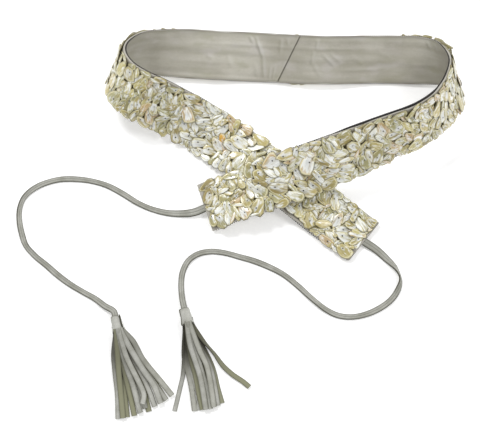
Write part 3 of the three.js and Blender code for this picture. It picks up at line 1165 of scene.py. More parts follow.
@dataclass
class Paving:
    """Chips laid side by side on the unrolled band, as arrays with an entry for each chip."""

    middle: Array
    spin: Array
    long: Array
    wide: Array
    low: float
    high: float
    half: float
    overlap: float = 2.0
    near: float = 23.0
    # How much of an overlap a round undoes, how hard the edges push, and how far the chips follow
    apart: float = 0.28
    inward: float = 0.8
    slide: float = 0.45
    swing: float = 2.4
    most_swing: float = 0.25

    def discs(self) -> tuple[Array, Array]:
        """The three discs that stand for each chip.

        Returns:
            Their middles and their radii.
        """
        ahead = np.stack([np.cos(self.spin), np.sin(self.spin)], axis=1)
        reach = (self.long - self.wide) / 2
        steps = np.array([-1.0, 0.0, 1.0])[None, :, None] * reach[:, None, None]
        spots = self.middle[:, None] + steps * ahead[:, None]
        radius = self.wide[:, None] / 2 * np.array([0.92, 1.0, 0.92])
        return spots, radius

    def pairs(self) -> tuple[Array, Array]:
        """Numbers of the chips that lie near each other, two by two."""
        between = np.abs(self.middle[:, None, 0] - self.middle[None, :, 0])
        return np.nonzero(np.triu(between < self.near, k=1))

    def overlaps(self, first: Array, second: Array) -> tuple[Array, Array]:
        """How deep the discs of chips lie in each other.

        Args:
            first: numbers of chips.
            second: the numbers of their neighbours.

        Returns:
            The depths, and the directions from the second chips' discs to the first ones'.
        """
        spots, radius = self.discs()
        between = spots[first][:, :, None] - spots[second][:, None]
        far = np.linalg.norm(between, axis=-1) + 1e-9
        deep = radius[first][:, :, None] + radius[second][:, None] - far
        return deep, between / far[..., None]

    def relax(self, rounds: int) -> None:
        """Pushes the chips apart, and back inside the reach that the edges allow.

        Args:
            rounds: how often that is done.
        """
        for step in range(rounds):
            if step % 6 == 0:
                first, second = self.pairs()
            deep, ways = self.overlaps(first, second)
            push = np.maximum(deep - self.overlap, 0)[..., None] * ways * self.apart
            spots, radius = self.discs()
            force = np.zeros_like(spots)
            np.add.at(force, first, push.sum(2))
            np.add.at(force, second, -push.sum(1))
            at, over = spots[..., 0], spots[..., 1]
            top, foot = (self.half + reach for reach in edge_reach(at))
            force[..., 1] -= np.maximum(over + radius - top, 0) * self.inward
            force[..., 1] += np.maximum(radius - foot - over, 0) * self.inward
            force[..., 0] -= np.maximum(at + radius - self.high, 0) * self.inward
            force[..., 0] += np.maximum(self.low - at + radius, 0) * self.inward
            arm = spots - self.middle[:, None]
            torque = (arm[..., 0] * force[..., 1] - arm[..., 1] * force[..., 0]).sum(1)
            turn = np.clip(torque / self.long**2 * self.swing, -self.most_swing, self.most_swing)
            self.middle = self.middle + force.sum(1) * self.slide
            self.spin = self.spin + turn

    def layers(self, count: int) -> Array:
        """Shares the chips out, so that those that overlap lie in different layers.

        Args:
            count: how many layers there are.

        Returns:
            The layer of each chip.
        """
        first, second = self.pairs()
        deep = np.maximum(self.overlaps(first, second)[0], 0).sum((1, 2))
        cover = np.zeros((len(self.long), len(self.long)))
        cover[first, second] = deep
        cover[second, first] = deep
        layer = np.full(len(self.long), -1)
        for i in range(len(self.long)):
            crowd = [cover[i, layer == k].sum() + 0.05 * ((i + k) % count) for k in range(count)]
            layer[i] = int(np.argmin(crowd))
        return layer


# Where the band bends sharply, and how far its chips lean from white towards olive tan
BENDS = (Swell(middle=-212, reach=48), Swell(middle=208, reach=55))
WARMTH = (
    Swell(middle=-212, reach=45, height=0.3),
    Swell(middle=-305, reach=50, height=-0.24),
    Swell(middle=205, reach=70, height=0.22),
    Swell(middle=300, reach=40, height=0.12),
    Swell(middle=-480, reach=50, height=-0.04),
    Swell(middle=405, reach=35, height=-0.06),
)


@dataclass
class ChipField:
    """The shell chips on the outer leather, laid close in three layers."""

    path: BandPath
    coverage: float = 1.74
    filled: float = 0.83
    end_margin: float = 0.9
    row_inset: float = 3.6
    row_step: float = 0.618034
    lifts: tuple[float, float, float] = (0.1, 0.65, 1.2)
    lift_spread: float = 0.25
    sunk: float = 0.75
    tilt: float = 7.0
    bend_tilt: float = -2.0
    bend_order: float = 0.68
    standing: float = 0.07
    standing_roll: tuple[float, float] = (35, 60)
    standing_width: float = 7
    standing_half: float = 19
    clear: float = 1.3
    edge_row: float = 4.0
    edge_spin: float = 0.6
    length: tuple[float, float] = (10.5, 22.5)
    breadth: tuple[float, float] = (0.86, 1.12)
    thickness: float = 1.1
    thickness_spread: tuple[float, float] = (0.85, 1.2)
    waves: tuple[tuple[int, float], ...] = ((2, 0.06), (3, 0.1), (4, 0.06), (5, 0.06))
    hole: float = 0.036
    sides: int = 12
    rounds: int = 90
    seed: int = 11
    amber: tuple[float, float] = (-342.0, 3.0)
    paleness: tuple[float, float] = (-0.15, 0.8)
    tints: tuple[float, float] = (0.0, 0.93)
    forms: tuple[ChipForm, ...] = (
        ChipForm.LEAF,
        ChipForm.OVAL,
        ChipForm.DROP,
        ChipForm.SLIVER,
        ChipForm.BAR,
        ChipForm.LEAF,
        ChipForm.BLOCK,
        ChipForm.DROP,
        ChipForm.PEBBLE,
        ChipForm.LEAF,
        ChipForm.BAR,
        ChipForm.FAN,
        ChipForm.DROP,
        ChipForm.LEAF,
        ChipForm.OVAL,
        ChipForm.SLIVER,
    )

    def circle(self) -> Array:
        """The angles at which a chip's points stand round its middle."""
        return 2 * math.pi * (np.arange(self.sides) + 0.5) / self.sides

    def outline(self, form: ChipForm, random: np.random.Generator) -> Array:
        """The outline of a chip a metre long, made uneven by a few waves.

        Args:
            form: its form.
            random: the field's stream of numbers.

        Returns:
            The outline's points.
        """
        width, power, drawn = form.value
        angle = self.circle()
        c, s = np.cos(angle), np.sin(angle)
        radius = (np.abs(c) ** power + np.abs(s) ** power) ** (-1 / power)
        for waves, height in self.waves:
            start = random.uniform(0, 2 * math.pi)
            radius = radius * (1 + random.uniform(-height, height) * np.cos(waves * angle + start))
        x = radius * c
        y = radius * s * width * (1 - drawn * x)
        return np.stack([x, y], axis=1) / 2

    def shape(self, form: ChipForm, number: int, random: np.random.Generator) -> bpy.types.Object:
        """One chip a metre long: a domed flake with a rounded rim, most with a drilled hole.

        Args:
            form: its outline.
            number: its place in the set.
            random: the field's stream of numbers.

        Returns:
            The chip's object, for the chip set.
        """
        n = self.sides
        angle = self.circle()
        outline = self.outline(form, random)
        hole = np.array([random.uniform(-0.16, 0.24), random.uniform(-0.05, 0.05)])
        round_hole = hole + np.stack([np.cos(angle), np.sin(angle)], axis=1) * self.hole
        drilled_through = number % 3 > 0
        # Outline's size, height over the chip's foot in chip thicknesses, and the rim mask, which lays the
        # painted shade along the foot
        rings = (
            (0.9, 0.0, 0.4),
            (1.0, 0.4, 1.0),
            (0.93, 0.84, 0.5),
            (0.8, 1.04, 0.0),
        )
        lean = random.uniform(-0.25, 0.25, 2)
        rows, rim, drilled, radial = [], [], [], []
        for size, height, edge in rings:
            flat = outline * size
            rows.append(np.column_stack([flat, height + (flat @ lean) * (height > 0.5)]))
            rim.append(np.full(n, edge))
            drilled.append(np.zeros(n))
            radial.append(np.full(n, size if height > 0 else 0.95))
        tops = [(round_hole, 1.2, 0.3), (round_hole, 0.7, 1.0)]
        for flat, height, share in tops if drilled_through else [(outline * 0.35, 1.18, 0.0)]:
            rows.append(np.column_stack([flat, np.full(n, height)]))
            rim.append(np.zeros(n))
            drilled.append(np.full(n, share))
            radial.append(np.full(n, 0.05 if share else 0.35))
        points = np.concatenate(rows)
        parts = MeshParts()
        parts.add(
            points / MM,
            ring_faces(len(rows), n),
            points[:, :2] * np.array([1.2, 4.4]),
            rim=np.concatenate(rim),
            hole=np.concatenate(drilled),
            radial=np.concatenate(radial),
        )
        blank = bpy.data.materials.get("chip_blank") or bpy.data.materials.new("chip_blank")
        return parts.build(f"chip_{number:02d}", blank, sharp=75)

    @staticmethod
    def bent(at: Array) -> Array:
        """How sharply the band turns at a place: one in the two bends, none on the straight runs."""
        return sum(bend.over(at) for bend in BENDS)

    def pave(self, random: np.random.Generator) -> tuple[Paving, Array]:
        """Lays the chips close together on the unrolled band.

        Args:
            random: the field's stream of numbers.

        Returns:
            The paving, and the number of each chip's form.
        """
        start, end = self.path.at[0], self.path.at[-1]
        half = self.path.sizes.width / 2
        room = (end - start) * 2 * half * self.coverage
        forms, long, wide = [], [], []
        while room > 0:
            form = int(random.integers(len(self.forms)))
            least, most = self.length
            length = least + (most - least) * random.uniform() ** 1.5
            width = length * self.forms[form].value[0] * random.uniform(*self.breadth)
            forms.append(form)
            long.append(length)
            wide.append(width)
            room -= self.filled * length * width
        count = len(long)
        area = np.array(long) * np.array(wide)
        at = start + (np.cumsum(area) - area / 2) / area.sum() * (end - start)
        top, foot = (half - self.row_inset + reach for reach in edge_reach(at))
        over = (np.arange(count) * self.row_step + 0.5) % 1 * (top + foot) - foot
        spread = math.pi / 2 * (1 - self.bend_order * np.minimum(self.bent(at), 1))
        spin = math.pi / 2 + random.uniform(-1, 1, count) * spread
        level = random.uniform(-self.edge_spin, self.edge_spin, count)
        spin = np.where(over > top - self.edge_row, level, spin)
        paving = Paving(
            middle=np.stack([at, over], axis=1) + random.uniform(-1, 1, (count, 2)),
            spin=spin,
            long=np.array(long),
            wide=np.array(wide),
            low=start + self.end_margin,
            high=end - self.end_margin,
            half=half,
        )
        paving.relax(self.rounds)
        log.info("%d chips", count)
        return paving, np.array(forms)

    def seat(
        self, paving: Paving, number: int, layer: int, random: np.random.Generator
    ) -> tuple[Array, tuple[float, ...]]:
        """Sets one chip on the band, a little tilted, and a few of them on their sides.

        Args:
            paving: the chips on the unrolled band.
            number: the chip's number.
            layer: the layer that it lies in.
            random: the field's stream of numbers.

        Returns:
            Its place in millimetres, and its turn as three angles.
        """
        (at, over), spin = paving.middle[number], paving.spin[number]
        long, wide = paving.long[number], paving.wide[number]
        f = self.path.frames(np.array(at))
        x = f.along * math.cos(spin) + f.across * math.sin(spin)
        y = np.cross(f.out, x)
        bent = float(self.bent(at))
        loose = self.tilt + self.bend_tilt * bent
        tilt, roll = np.radians(np.clip(random.normal(0, loose, 2), -2 * loose, 2 * loose))
        slim = wide < self.standing_width and abs(over) < self.standing_half
        if random.uniform() < self.standing * (1 - bent) and slim:
            roll = math.radians(random.uniform(*self.standing_roll)) * random.choice((-1, 1))
        x, out = turned(x, y * tilt), turned(f.out, y * tilt)
        y, out = turned(y, x * roll), turned(out, x * roll)
        sink = abs(math.sin(tilt)) * long / 2 + abs(math.sin(roll)) * wide / 2
        lift = max(self.lifts[layer] + random.uniform(0, self.lift_spread), sink - self.sunk)
        face = self.path.sizes.gap / 2 + self.path.sizes.leather
        place = f.point + f.across * over + f.out * (face + lift)
        lowest = place[2] - 0.5 * math.hypot(long * x[2], wide * y[2])
        if over < 0 and lowest < self.clear:
            place = place + f.across * (self.clear - lowest) / max(f.across[2], 0.3)
        return place, tuple(Matrix(np.column_stack([x, y, out]).tolist()).to_euler())

    def seeds(
        self, paving: Paving, forms: Array, chosen: Array, random: np.random.Generator
    ) -> bpy.types.Object:
        """Points where chips sit, with each chip's turn, size, form and warmth.

        Args:
            paving: the chips on the unrolled band.
            forms: the number of each chip's form.
            chosen: the numbers of the chips that go on this stretch.
            random: the field's stream of numbers.

        Returns:
            A mesh object of loose points.
        """
        layers = paving.layers(len(self.lifts))
        points, turns, sizes = [], [], []
        for i in chosen:
            place, turn = self.seat(paving, i, layers[i], random)
            points.append(tuple(place * MM))
            turns.append(turn)
            breadth = paving.wide[i] / self.forms[forms[i]].value[0]
            high = self.thickness * MM * random.uniform(*self.thickness_spread)
            sizes.append((paving.long[i] * MM, breadth * MM, high))
        mesh = bpy.data.meshes.new("chip_seeds")
        mesh.from_pydata(points, [], [])
        for name, rows in (("turn", turns), ("size", sizes)):
            attribute = mesh.attributes.new(name, "FLOAT_VECTOR", "POINT")
            attribute.data.foreach_set("vector", np.array(rows, np.float32).ravel())
        amber = self.amber_chip(paving, chosen, layers)
        warmth = sum(row.over(paving.middle[chosen, 0]) for row in WARMTH)
        for name, row in (("form", forms[chosen]), ("warmth", warmth), ("amber", amber)):
            attribute = mesh.attributes.new(name, "FLOAT", "POINT")
            attribute.data.foreach_set("value", np.asarray(row, np.float32))
        return linked("chip_seeds", mesh)

    def amber_chip(self, paving: Paving, chosen: Array, layers: Array) -> Array:
        """Picks the chip nearest to the amber one's place, rather a wide one in the top layer.

        Args:
            paving: the chips on the unrolled band.
            chosen: the numbers of the chips on this stretch.
            layers: the layer of each chip.

        Returns:
            One for that chip and nothing for the others, or for all where none lies near.
        """
        away = np.linalg.norm(paving.middle[chosen] - np.array(self.amber), axis=1)
        away = away + 5 * (max(layers) - layers[chosen]) + 6 * np.maximum(8 - paving.wide[chosen], 0)
        return (away < min(away.min() + 0.01, 25.0)).astype(np.float32)

    def tree(self) -> bpy.types.NodeTree:
        """The nodes that set each seed's chip and give it a tint and a paleness of its own.

        Returns:
            The geometry tree.
        """
        kinds = {
            "Chip Set": "Collection",
            "Least Paleness": "Float",
            "Most Paleness": "Float",
            "Seed": "Int",
        }
        sheet = new_growth("chip_field", kinds)
        given = sheet.add("NodeGroupInput").outputs
        held = {}
        for name, kind in (
            ("turn", "FLOAT_VECTOR"),
            ("size", "FLOAT_VECTOR"),
            ("form", "FLOAT"),
            ("warmth", "FLOAT"),
            ("amber", "FLOAT"),
        ):
            node = sheet.add("GeometryNodeInputNamedAttribute", {"Name": name}, data_type=kind)
            held[name] = node.outputs[0]
        chips = sheet.add(
            "GeometryNodeCollectionInfo",
            {"Collection": given["Chip Set"], "Separate Children": True, "Reset Children": True},
        )
        placed = sheet.add(
            "GeometryNodeInstanceOnPoints",
            {
                "Points": given["Geometry"],
                "Instance": chips.outputs[0],
                "Pick Instance": True,
                "Instance Index": held["form"],
                "Rotation": held["turn"],
                "Scale": held["size"],
            },
        )
        chance = self.chance(sheet, *self.tints, given["Seed"], 1)
        tint = sheet.sum("MAXIMUM", chance, held["amber"])
        warmth = sheet.sum("ADD", held["warmth"], held["amber"])
        least, most = given["Least Paleness"], given["Most Paleness"]
        paleness = self.chance(sheet, least, most, given["Seed"], 2)
        pale = sheet.sum("SUBTRACT", paleness, warmth, clamp=True)
        flow = placed.outputs[0]
        for name, value in (("tint", tint), ("pale", pale)):
            store = sheet.add(
                "GeometryNodeStoreNamedAttribute",
                {"Geometry": flow, "Name": name, "Value": value},
                data_type="FLOAT",
                domain="INSTANCE",
            )
            flow = store.outputs[0]
        real = sheet.add("GeometryNodeRealizeInstances", {"Geometry": flow})
        dressed = sheet.add(
            "GeometryNodeSetMaterial", {"Geometry": real.outputs[0], "Material": given["Finish"]}
        )
        sheet.add("NodeGroupOutput", {0: dressed.outputs[0]})
        return sheet.tree

    @staticmethod
    def chance(sheet: NodeSheet, low: object, high: object, seed: Socket, extra: int) -> Socket:
        """A random value for each seed.

        Args:
            sheet: the tree's node sheet.
            low: its least value.
            high: its greatest value.
            seed: the seed of the whole tree.
            extra: what is added for this value alone.

        Returns:
            The output with the value.
        """
        own = sheet.sum("ADD", seed, float(extra))
        values = {2: low, 3: high, 8: own}
        return sheet.add("FunctionNodeRandomValue", values, data_type="FLOAT").outputs[1]

    def build(self, material: bpy.types.Material) -> list[bpy.types.Object]:
        """Builds the field as two joined meshes, one on each arm.

        Args:
            material: its finish.

        Returns:
            The two pieces.
        """
        random = np.random.default_rng(self.seed)
        chip_set = bpy.data.collections.new("chip_set")
        for number, form in enumerate(self.forms):
            chip = self.shape(form, number, random)
            bpy.context.scene.collection.objects.unlink(chip)
            chip_set.objects.link(chip)
        paving, forms = self.pave(random)
        tree = self.tree()
        pieces = []
        arms = (
            ("shell_chips_left", paving.middle[:, 0] < 0),
            ("shell_chips_right", paving.middle[:, 0] >= 0),
        )
        for name, side in arms:
            seeds = self.seeds(paving, forms, np.nonzero(side)[0], random)
            values = {
                "Chip Set": chip_set,
                "Least Paleness": self.paleness[0],
                "Most Paleness": self.paleness[1],
                "Seed": self.seed + 10 * len(pieces),
                "Finish": material,
            }
            pieces.append(grown(seeds, tree, values, name))
        for chip in list(chip_set.objects):
            bpy.data.objects.remove(chip)
        bpy.data.collections.remove(chip_set)
        return pieces


def grown(
    base: bpy.types.Object, tree: bpy.types.NodeTree, values: dict[str, object], name: str
) -> bpy.types.Object:
    """Runs a geometry tree on an object and keeps the result as a plain mesh.

    Args:
        base: the object that carries the tree, removed afterwards.
        tree: the geometry tree.
        values: its named inputs.
        name: the result's name.

    Returns:
        The finished piece.
    """
    modifier = base.modifiers.new(tree.name, "NODES")
    modifier.node_group = tree
    for item in tree.interface.items_tree:
        if item.item_type == "SOCKET" and item.in_out == "INPUT" and item.name in values:
            modifier[item.identifier] = values[item.name]
    held = bpy.context.evaluated_depsgraph_get()
    mesh = bpy.data.meshes.new_from_object(base.evaluated_get(held), depsgraph=held)
    base.modifiers.remove(modifier)
    bpy.data.objects.remove(base)
    mesh.name = name
    return linked(name, mesh)


@dataclass(frozen=True)
class Crease:
    """A soft fold in the lining: its two ends on the unrolled band, its width and its height."""

    start: tuple[float, float]
    end: tuple[float, float]
    width: float
    height: float


CREASES = (
    Crease((-41, 27), (-33, 12), width=1.7, height=1.1),
    Crease((-34, 27), (-25, 4), width=1.7, height=1.0),
    Crease((-31, 18), (-22, -3), width=1.9, height=1.3),
    Crease((-24, 6), (-21, -27), width=1.8, height=1.1),
    Crease((-15, -5), (-17, -27), width=1.3, height=0.8),
    Crease((-10, -6), (-13, -27), width=1.2, height=0.7),
    Crease((-4, 25), (-6, 2), width=1.9, height=1.0),
    Crease((-33, -2), (-27, -24), width=2.4, height=0.5),
    Crease((-62, 4), (-55, -14), width=2.6, height=0.5),
    Crease((-84, 1), (-74, -5), width=2.4, height=0.5),
    Crease((1, 27), (3, 12), width=1.6, height=0.8),
    Crease((35, 27), (31, 9), width=1.6, height=1.1),
    Crease((30, 12), (27, -6), width=2.0, height=1.0),
    Crease((36, 9), (54, -9), width=1.9, height=0.8),
    Crease((44, 9), (60, -4), width=1.9, height=0.6),
    Crease((27, 0), (38, -20), width=2.0, height=0.7),
    Crease((66, 6), (84, -6), width=2.6, height=0.5),
    Crease((52, -11), (112, -10), width=1.8, height=0.7),
    Crease((96, 8), (112, 2), width=2.6, height=0.5),
    Crease((-132, 12), (138, 12), width=1.9, height=0.6),
    Crease((-150, -6), (-40, -9), width=2.4, height=0.4),
    Crease((-214, 9), (-120, 12), width=2.6, height=0.9),
    Crease((-222, -5), (-130, -5), width=2.8, height=0.9),
    Crease((-216, -17), (-150, -18), width=2.2, height=0.6),
    Crease((112, -5), (186, -3), width=2.6, height=0.6),
    Crease((-186, 22), (-174, -12), width=3.0, height=0.6),
    Crease((-205, 20), (-200, -18), width=3.0, height=0.7),
    Crease((146, 26), (151, 12), width=1.8, height=1.0),
    Crease((157, 25), (160, 9), width=1.8, height=0.9),
    Crease((164, 12), (172, -20), width=2.6, height=0.8),
    Crease((186, 20), (190, -18), width=2.6, height=0.9),
)


@dataclass
class Lining:
    """One length of the inner leather, with its folds and the edge along the slanted seam."""

    path: BandPath
    side: Side
    pitch: float = 1.2
    inset: float = 0.55
    end_inset: float = 0.4
    face_points: int = 46
    back_points: int = 8
    lip: float = 0.8
    tuck: float = 0.3
    turn_in: float = 2.2
    crease_rise: float = 0.85
    crease_fade: float = 0.35
    probe: float = 0.6
    shades: tuple[Swell, ...] = (
        Swell(middle=-212, reach=44, height=0.35),
        Swell(middle=198, reach=40, height=0.95),
    )

    def height(self, at: Array, over: Array) -> Array:
        """How far the inner face stands in over its flat state.

        Args:
            at: distances along the band.
            over: heights over its middle line.

        Returns:
            The rise in millimetres.
        """
        half = self.path.sizes.width / 2
        rise = 0.22 * np.sin(over / 3.1 + 1.4 * np.sin(at / 63)) + 0.12 * np.sin(over / 1.7 + at / 41)
        rise = rise + 0.1 * np.sin(at / 7.3 + over / 11)
        for crease in CREASES:
            way = np.array(crease.end) - np.array(crease.start)
            long = float(np.hypot(*way))
            way = way / long
            off_at, off_over = at - crease.start[0], over - crease.start[1]
            run = (off_at * way[0] + off_over * way[1]) / long
            fade = smooth(run / self.crease_fade) * smooth((1 - run) / self.crease_fade)
            ridge = Swell(0, crease.width).over(off_at * way[1] - off_over * way[0])
            rise = rise + self.crease_rise * crease.height * fade * ridge
        held = smooth((half - 2.0 - np.abs(over)) / 4.0)
        return rise * held

    def build(self, material: bpy.types.Material) -> bpy.types.Object:
        """Builds the length of lining as one closed sheet.

        Args:
            material: its finish.

        Returns:
            The finished piece.
        """
        z = self.path.sizes
        sign = self.side.value
        seam = (z.seam_top + z.seam_foot) / 2 + sign * z.seam_gap / 2
        end = self.path.at[-1] if self.side is Side.RIGHT else self.path.at[0]
        end -= sign * self.end_inset
        base = np.linspace(seam, end, math.ceil(abs(end - seam) / self.pitch) + 1)[:, None]
        half = z.width / 2 - self.inset
        inner = np.linspace(-half, half, self.face_points)
        outer = np.linspace(half, -half, self.back_points)
        over = np.concatenate([inner, outer])[None, :]
        inside = np.concatenate([np.ones(len(inner)), np.zeros(len(outer))])[None, :]
        at = self.path.slant(base, over)
        near = np.clip(1 - np.abs(base - seam) / self.turn_in, 0, 1)
        rolled = self.lip * np.sqrt(near) if self.side is Side.LEFT else -self.tuck * near
        depth = -z.gap / 2 - inside * (z.lining - 0.05 + self.height(at, over) + rolled)
        # A dark line near each long edge: partly the stitching, partly painted shade in the gap between the
        # lining and the outer wall; joint darkens the line of the seam.
        stitched = Swell(z.width / 2 - 1.0, 0.6).over(np.abs(over))
        joint = Swell(seam, 0.7, 0.8 if self.side is Side.RIGHT else 0.1).over(base)
        hem = np.clip(np.maximum(stitched * 0.55, np.broadcast_to(joint, at.shape)), 0, 1) * inside
        # Which side of each crease faces the light: fold lays painted shade on one side, raised lays
        # painted highlight on the other.
        p = self.probe
        lit = self.height(at + p, over) - self.height(at - p, over)
        lit = lit + 0.6 * (self.height(at, over + p) - self.height(at, over - p))
        parts = MeshParts()
        parts.add_rings(
            self.path.place(at, over, depth),
            at,
            over,
            hem=hem,
            fold=np.clip(lit * 0.5, 0, 0.32) * inside,
            raised=np.clip(-lit * 0.45, 0, 0.28) * inside,
            shade=sum(shade.over(at) for shade in self.shades),
        )
        return parts.build(f"inner_{self.side.name.lower()}", material)


@dataclass(frozen=True)
class ThreadAndShadeWeight:
    """How thick the dark stitches are at a place along the band; where they are thickest they also stand
    for painted shade in the gap along the edge.
    """

    at: float
    weight: float


# Stitch weights: the thread, and where they run high, painted shade in the gap along the edge.
THREAD_AND_SHADE_WEIGHTS = (
    ThreadAndShadeWeight(at=-512, weight=0.7),
    ThreadAndShadeWeight(at=-420, weight=1.0),
    ThreadAndShadeWeight(at=-365, weight=0.6),
    ThreadAndShadeWeight(at=-310, weight=0.6),
    ThreadAndShadeWeight(at=-290, weight=1.1),
    ThreadAndShadeWeight(at=-235, weight=1.0),
    ThreadAndShadeWeight(at=-190, weight=1.4),
    ThreadAndShadeWeight(at=-150, weight=0.7),
    ThreadAndShadeWeight(at=150, weight=0.7),
    ThreadAndShadeWeight(at=190, weight=1.2),
    ThreadAndShadeWeight(at=236, weight=1.5),
    ThreadAndShadeWeight(at=250, weight=2.4),
    ThreadAndShadeWeight(at=338, weight=2.3),
    ThreadAndShadeWeight(at=352, weight=1.2),
    ThreadAndShadeWeight(at=420, weight=0.8),
    ThreadAndShadeWeight(at=498, weight=0.6),
)


@dataclass
class EdgeStitches:
    """Dark stitches along both hems, on the lining side."""

    path: BandPath
    inset: float = -0.35
    pitch: float = 2.2
    length: float = 2.1
    thickness: float = 1.25
    depth: float = 0.95

    def tree(self) -> bpy.types.NodeTree:
        """The nodes that lay a stitch at every pitch of a line.

        Returns:
            The geometry tree.
        """
        sheet = new_growth("stitch_row", dict.fromkeys(("Pitch", "Length", "Thickness"), "Float"))
        given = sheet.add("NodeGroupInput").outputs
        line = sheet.add("GeometryNodeMeshToCurve", {0: given["Geometry"]})
        spots = sheet.add("GeometryNodeResampleCurve", {"Curve": line.outputs[0]})
        if hasattr(spots, "mode"):
            spots.mode = "LENGTH"
        else:
            spots.inputs["Mode"].default_value = "Length"
        sheet.tree.links.new(given["Pitch"], spots.inputs["Length"])
        way = sheet.add("GeometryNodeInputTangent")
        turn = sheet.add("FunctionNodeAlignRotationToVector", {"Vector": way.outputs[0]}, axis="X")
        bead = sheet.add("GeometryNodeMeshUVSphere", {"Segments": 8, "Rings": 5, "Radius": 0.5})
        weight = sheet.add(
            "GeometryNodeInputNamedAttribute", {"Name": "weight"}, data_type="FLOAT"
        ).outputs[0]
        long = sheet.sum("MULTIPLY", given["Length"], weight)
        thick = sheet.sum("MULTIPLY", given["Thickness"], weight)
        size = sheet.add("ShaderNodeCombineXYZ", {0: long, 1: thick, 2: thick})
        placed = sheet.add(
            "GeometryNodeInstanceOnPoints",
            {
                "Points": spots.outputs[0],
                "Instance": bead.outputs[0],
                "Rotation": turn.outputs[0],
                "Scale": size.outputs[0],
            },
        )
        real = sheet.add("GeometryNodeRealizeInstances", {"Geometry": placed.outputs[0]})
        soft = sheet.add("GeometryNodeSetShadeSmooth", {0: real.outputs[0]})
        dressed = sheet.add(
            "GeometryNodeSetMaterial", {"Geometry": soft.outputs[0], "Material": given["Finish"]}
        )
        sheet.add("NodeGroupOutput", {0: dressed.outputs[0]})
        return sheet.tree

    def build(self, material: bpy.types.Material) -> bpy.types.Object:
        """Builds both rows as one mesh.

        Args:
            material: their finish.

        Returns:
            The finished piece.
        """
        half = self.path.sizes.width / 2
        at = np.arange(self.path.at[0] + 2, self.path.at[-1] - 2, 2.0)
        mesh = bpy.data.meshes.new("stitch_lines")
        points, edges, weights = [], [], []
        # Thicker stitches where the dark line along the edge also stands for painted shade in the gap.
        rows = np.array([(row.at, row.weight) for row in THREAD_AND_SHADE_WEIGHTS])
        weight = np.interp(at, rows[:, 0], rows[:, 1])
        for over in (half - self.inset, self.inset - half):
            first = len(points)
            points += (self.path.place(at, over, -self.depth) * MM).tolist()
            edges += [(k, k + 1) for k in range(first, len(points) - 1)]
            weights += weight.tolist()
        mesh.from_pydata(points, edges, [])
        mesh.attributes.new("weight", "FLOAT", "POINT").data.foreach_set("value", weights)
        values = {
            "Pitch": self.pitch * MM,
            "Length": self.length * MM,
            "Thickness": self.thickness * MM,
            "Finish": material,
        }
        return grown(linked("stitch_lines", mesh), self.tree(), values, "edge_stitches")


# Ties


@dataclass(frozen=True)
class Stop:
    """A point of a tie's route over the surface: x, y and the height of its middle."""

    x: float
    y: float
    z: float


LEFT_TIE_ROUTE = (
    Stop(-45, 5, 3.4),
    Stop(-56, 4, 1.8),
    Stop(-73, 5, 1.1),
    Stop(-88, 9, 1.1),
    Stop(-103, 16, 1.1),
    Stop(-118, 26, 1.1),
    Stop(-134, 35, 1.1),
    Stop(-150, 40, 1.1),
    Stop(-165, 42, 1.1),
    Stop(-181, 42, 1.1),
    Stop(-196, 38, 1.1),
    Stop(-208, 31, 1.1),
    Stop(-217, 21, 1.1),
    Stop(-220.5, 9, 1.1),
    Stop(-220, -4, 1.1),
    Stop(-217, -17, 1.1),
    Stop(-212, -30, 1.1),
    Stop(-203, -40.5, 1.1),
    Stop(-191, -50.5, 1.1),
    Stop(-178, -62, 1.1),
    Stop(-166, -71, 1.1),
    Stop(-153, -79, 1.1),
    Stop(-141, -86, 1.5),
    Stop(-131, -94, 3),
)
RIGHT_TIE_ROUTE = (
    Stop(134, -34.5, 2.2),
    Stop(145, -45, 1.2),
    Stop(153, -55, 1.1),
    Stop(157, -66, 1.1),
    Stop(154.5, -76, 1.1),
    Stop(147, -87, 1.1),
    Stop(135, -96, 1.1),
    Stop(121.5, -102, 1.1),
    Stop(108, -104.5, 1.1),
    Stop(95, -103, 1.1),
    Stop(83, -97, 1.1),
    Stop(70, -86, 1.1),
    Stop(56, -72, 1.1),
    Stop(43, -61, 1.1),
    Stop(30, -53.5, 1.1),
    Stop(15, -47, 1.1),
    Stop(-1, -42, 1.1),
    Stop(-15, -38, 1.1),
    Stop(-28.5, -36.5, 1.1),
    Stop(-41, -39, 1.1),
    Stop(-50.5, -46, 1.1),
    Stop(-56, -57, 1.1),
    Stop(-57.5, -70, 1.5),
    Stop(-56.5, -84, 3),
)


@dataclass(frozen=True)
class HeadPlace:
    """Where a tassel's head starts and the way it points over the surface."""

    x: float
    y: float
    heading: float


@dataclass(frozen=True)
class HeadSizes:
    """The rolled head of a tassel."""

    top_radius: float = 4.8
    foot_radius: float = 6.2
    length: float = 16
    lift: float = 0.4
    wall: float = 1.1
    wrap: float = 1.05
    rings: int = 13
    points: int = 46
    core_rings: int = 7
    core_points: int = 14


TIE_GAP = 0.3
LEFT_HEAD = HeadPlace(x=-120.5, y=-106, heading=-76)
RIGHT_HEAD = HeadPlace(x=-53.5, y=-98.5, heading=-76)


@dataclass
class HeadAxes:
    """A head's top and its directions: along, sideways and upwards."""

    top: Array
    along: Array
    sideways: Array
    upward: Array


def head_axes(place: HeadPlace, sizes: HeadSizes, shift: Array) -> HeadAxes:
    """Where a head lies in the part's frame.

    Args:
        place: its place in the table of routes.
        sizes: the head's sizes.
        shift: the move from the table's frame to the part's.

    Returns:
        The head's top and directions.
    """
    heading = math.radians(place.heading)
    rise = sizes.foot_radius - sizes.top_radius
    ahead = (math.cos(heading) * sizes.length, math.sin(heading) * sizes.length, rise)
    along = unit(np.array(ahead))
    top = np.array([place.x + shift[0], place.y + shift[1], sizes.lift + sizes.top_radius])
    sideways = np.array([-math.sin(heading), math.cos(heading), 0.0])
    return HeadAxes(top, along, sideways, np.cross(along, sideways))


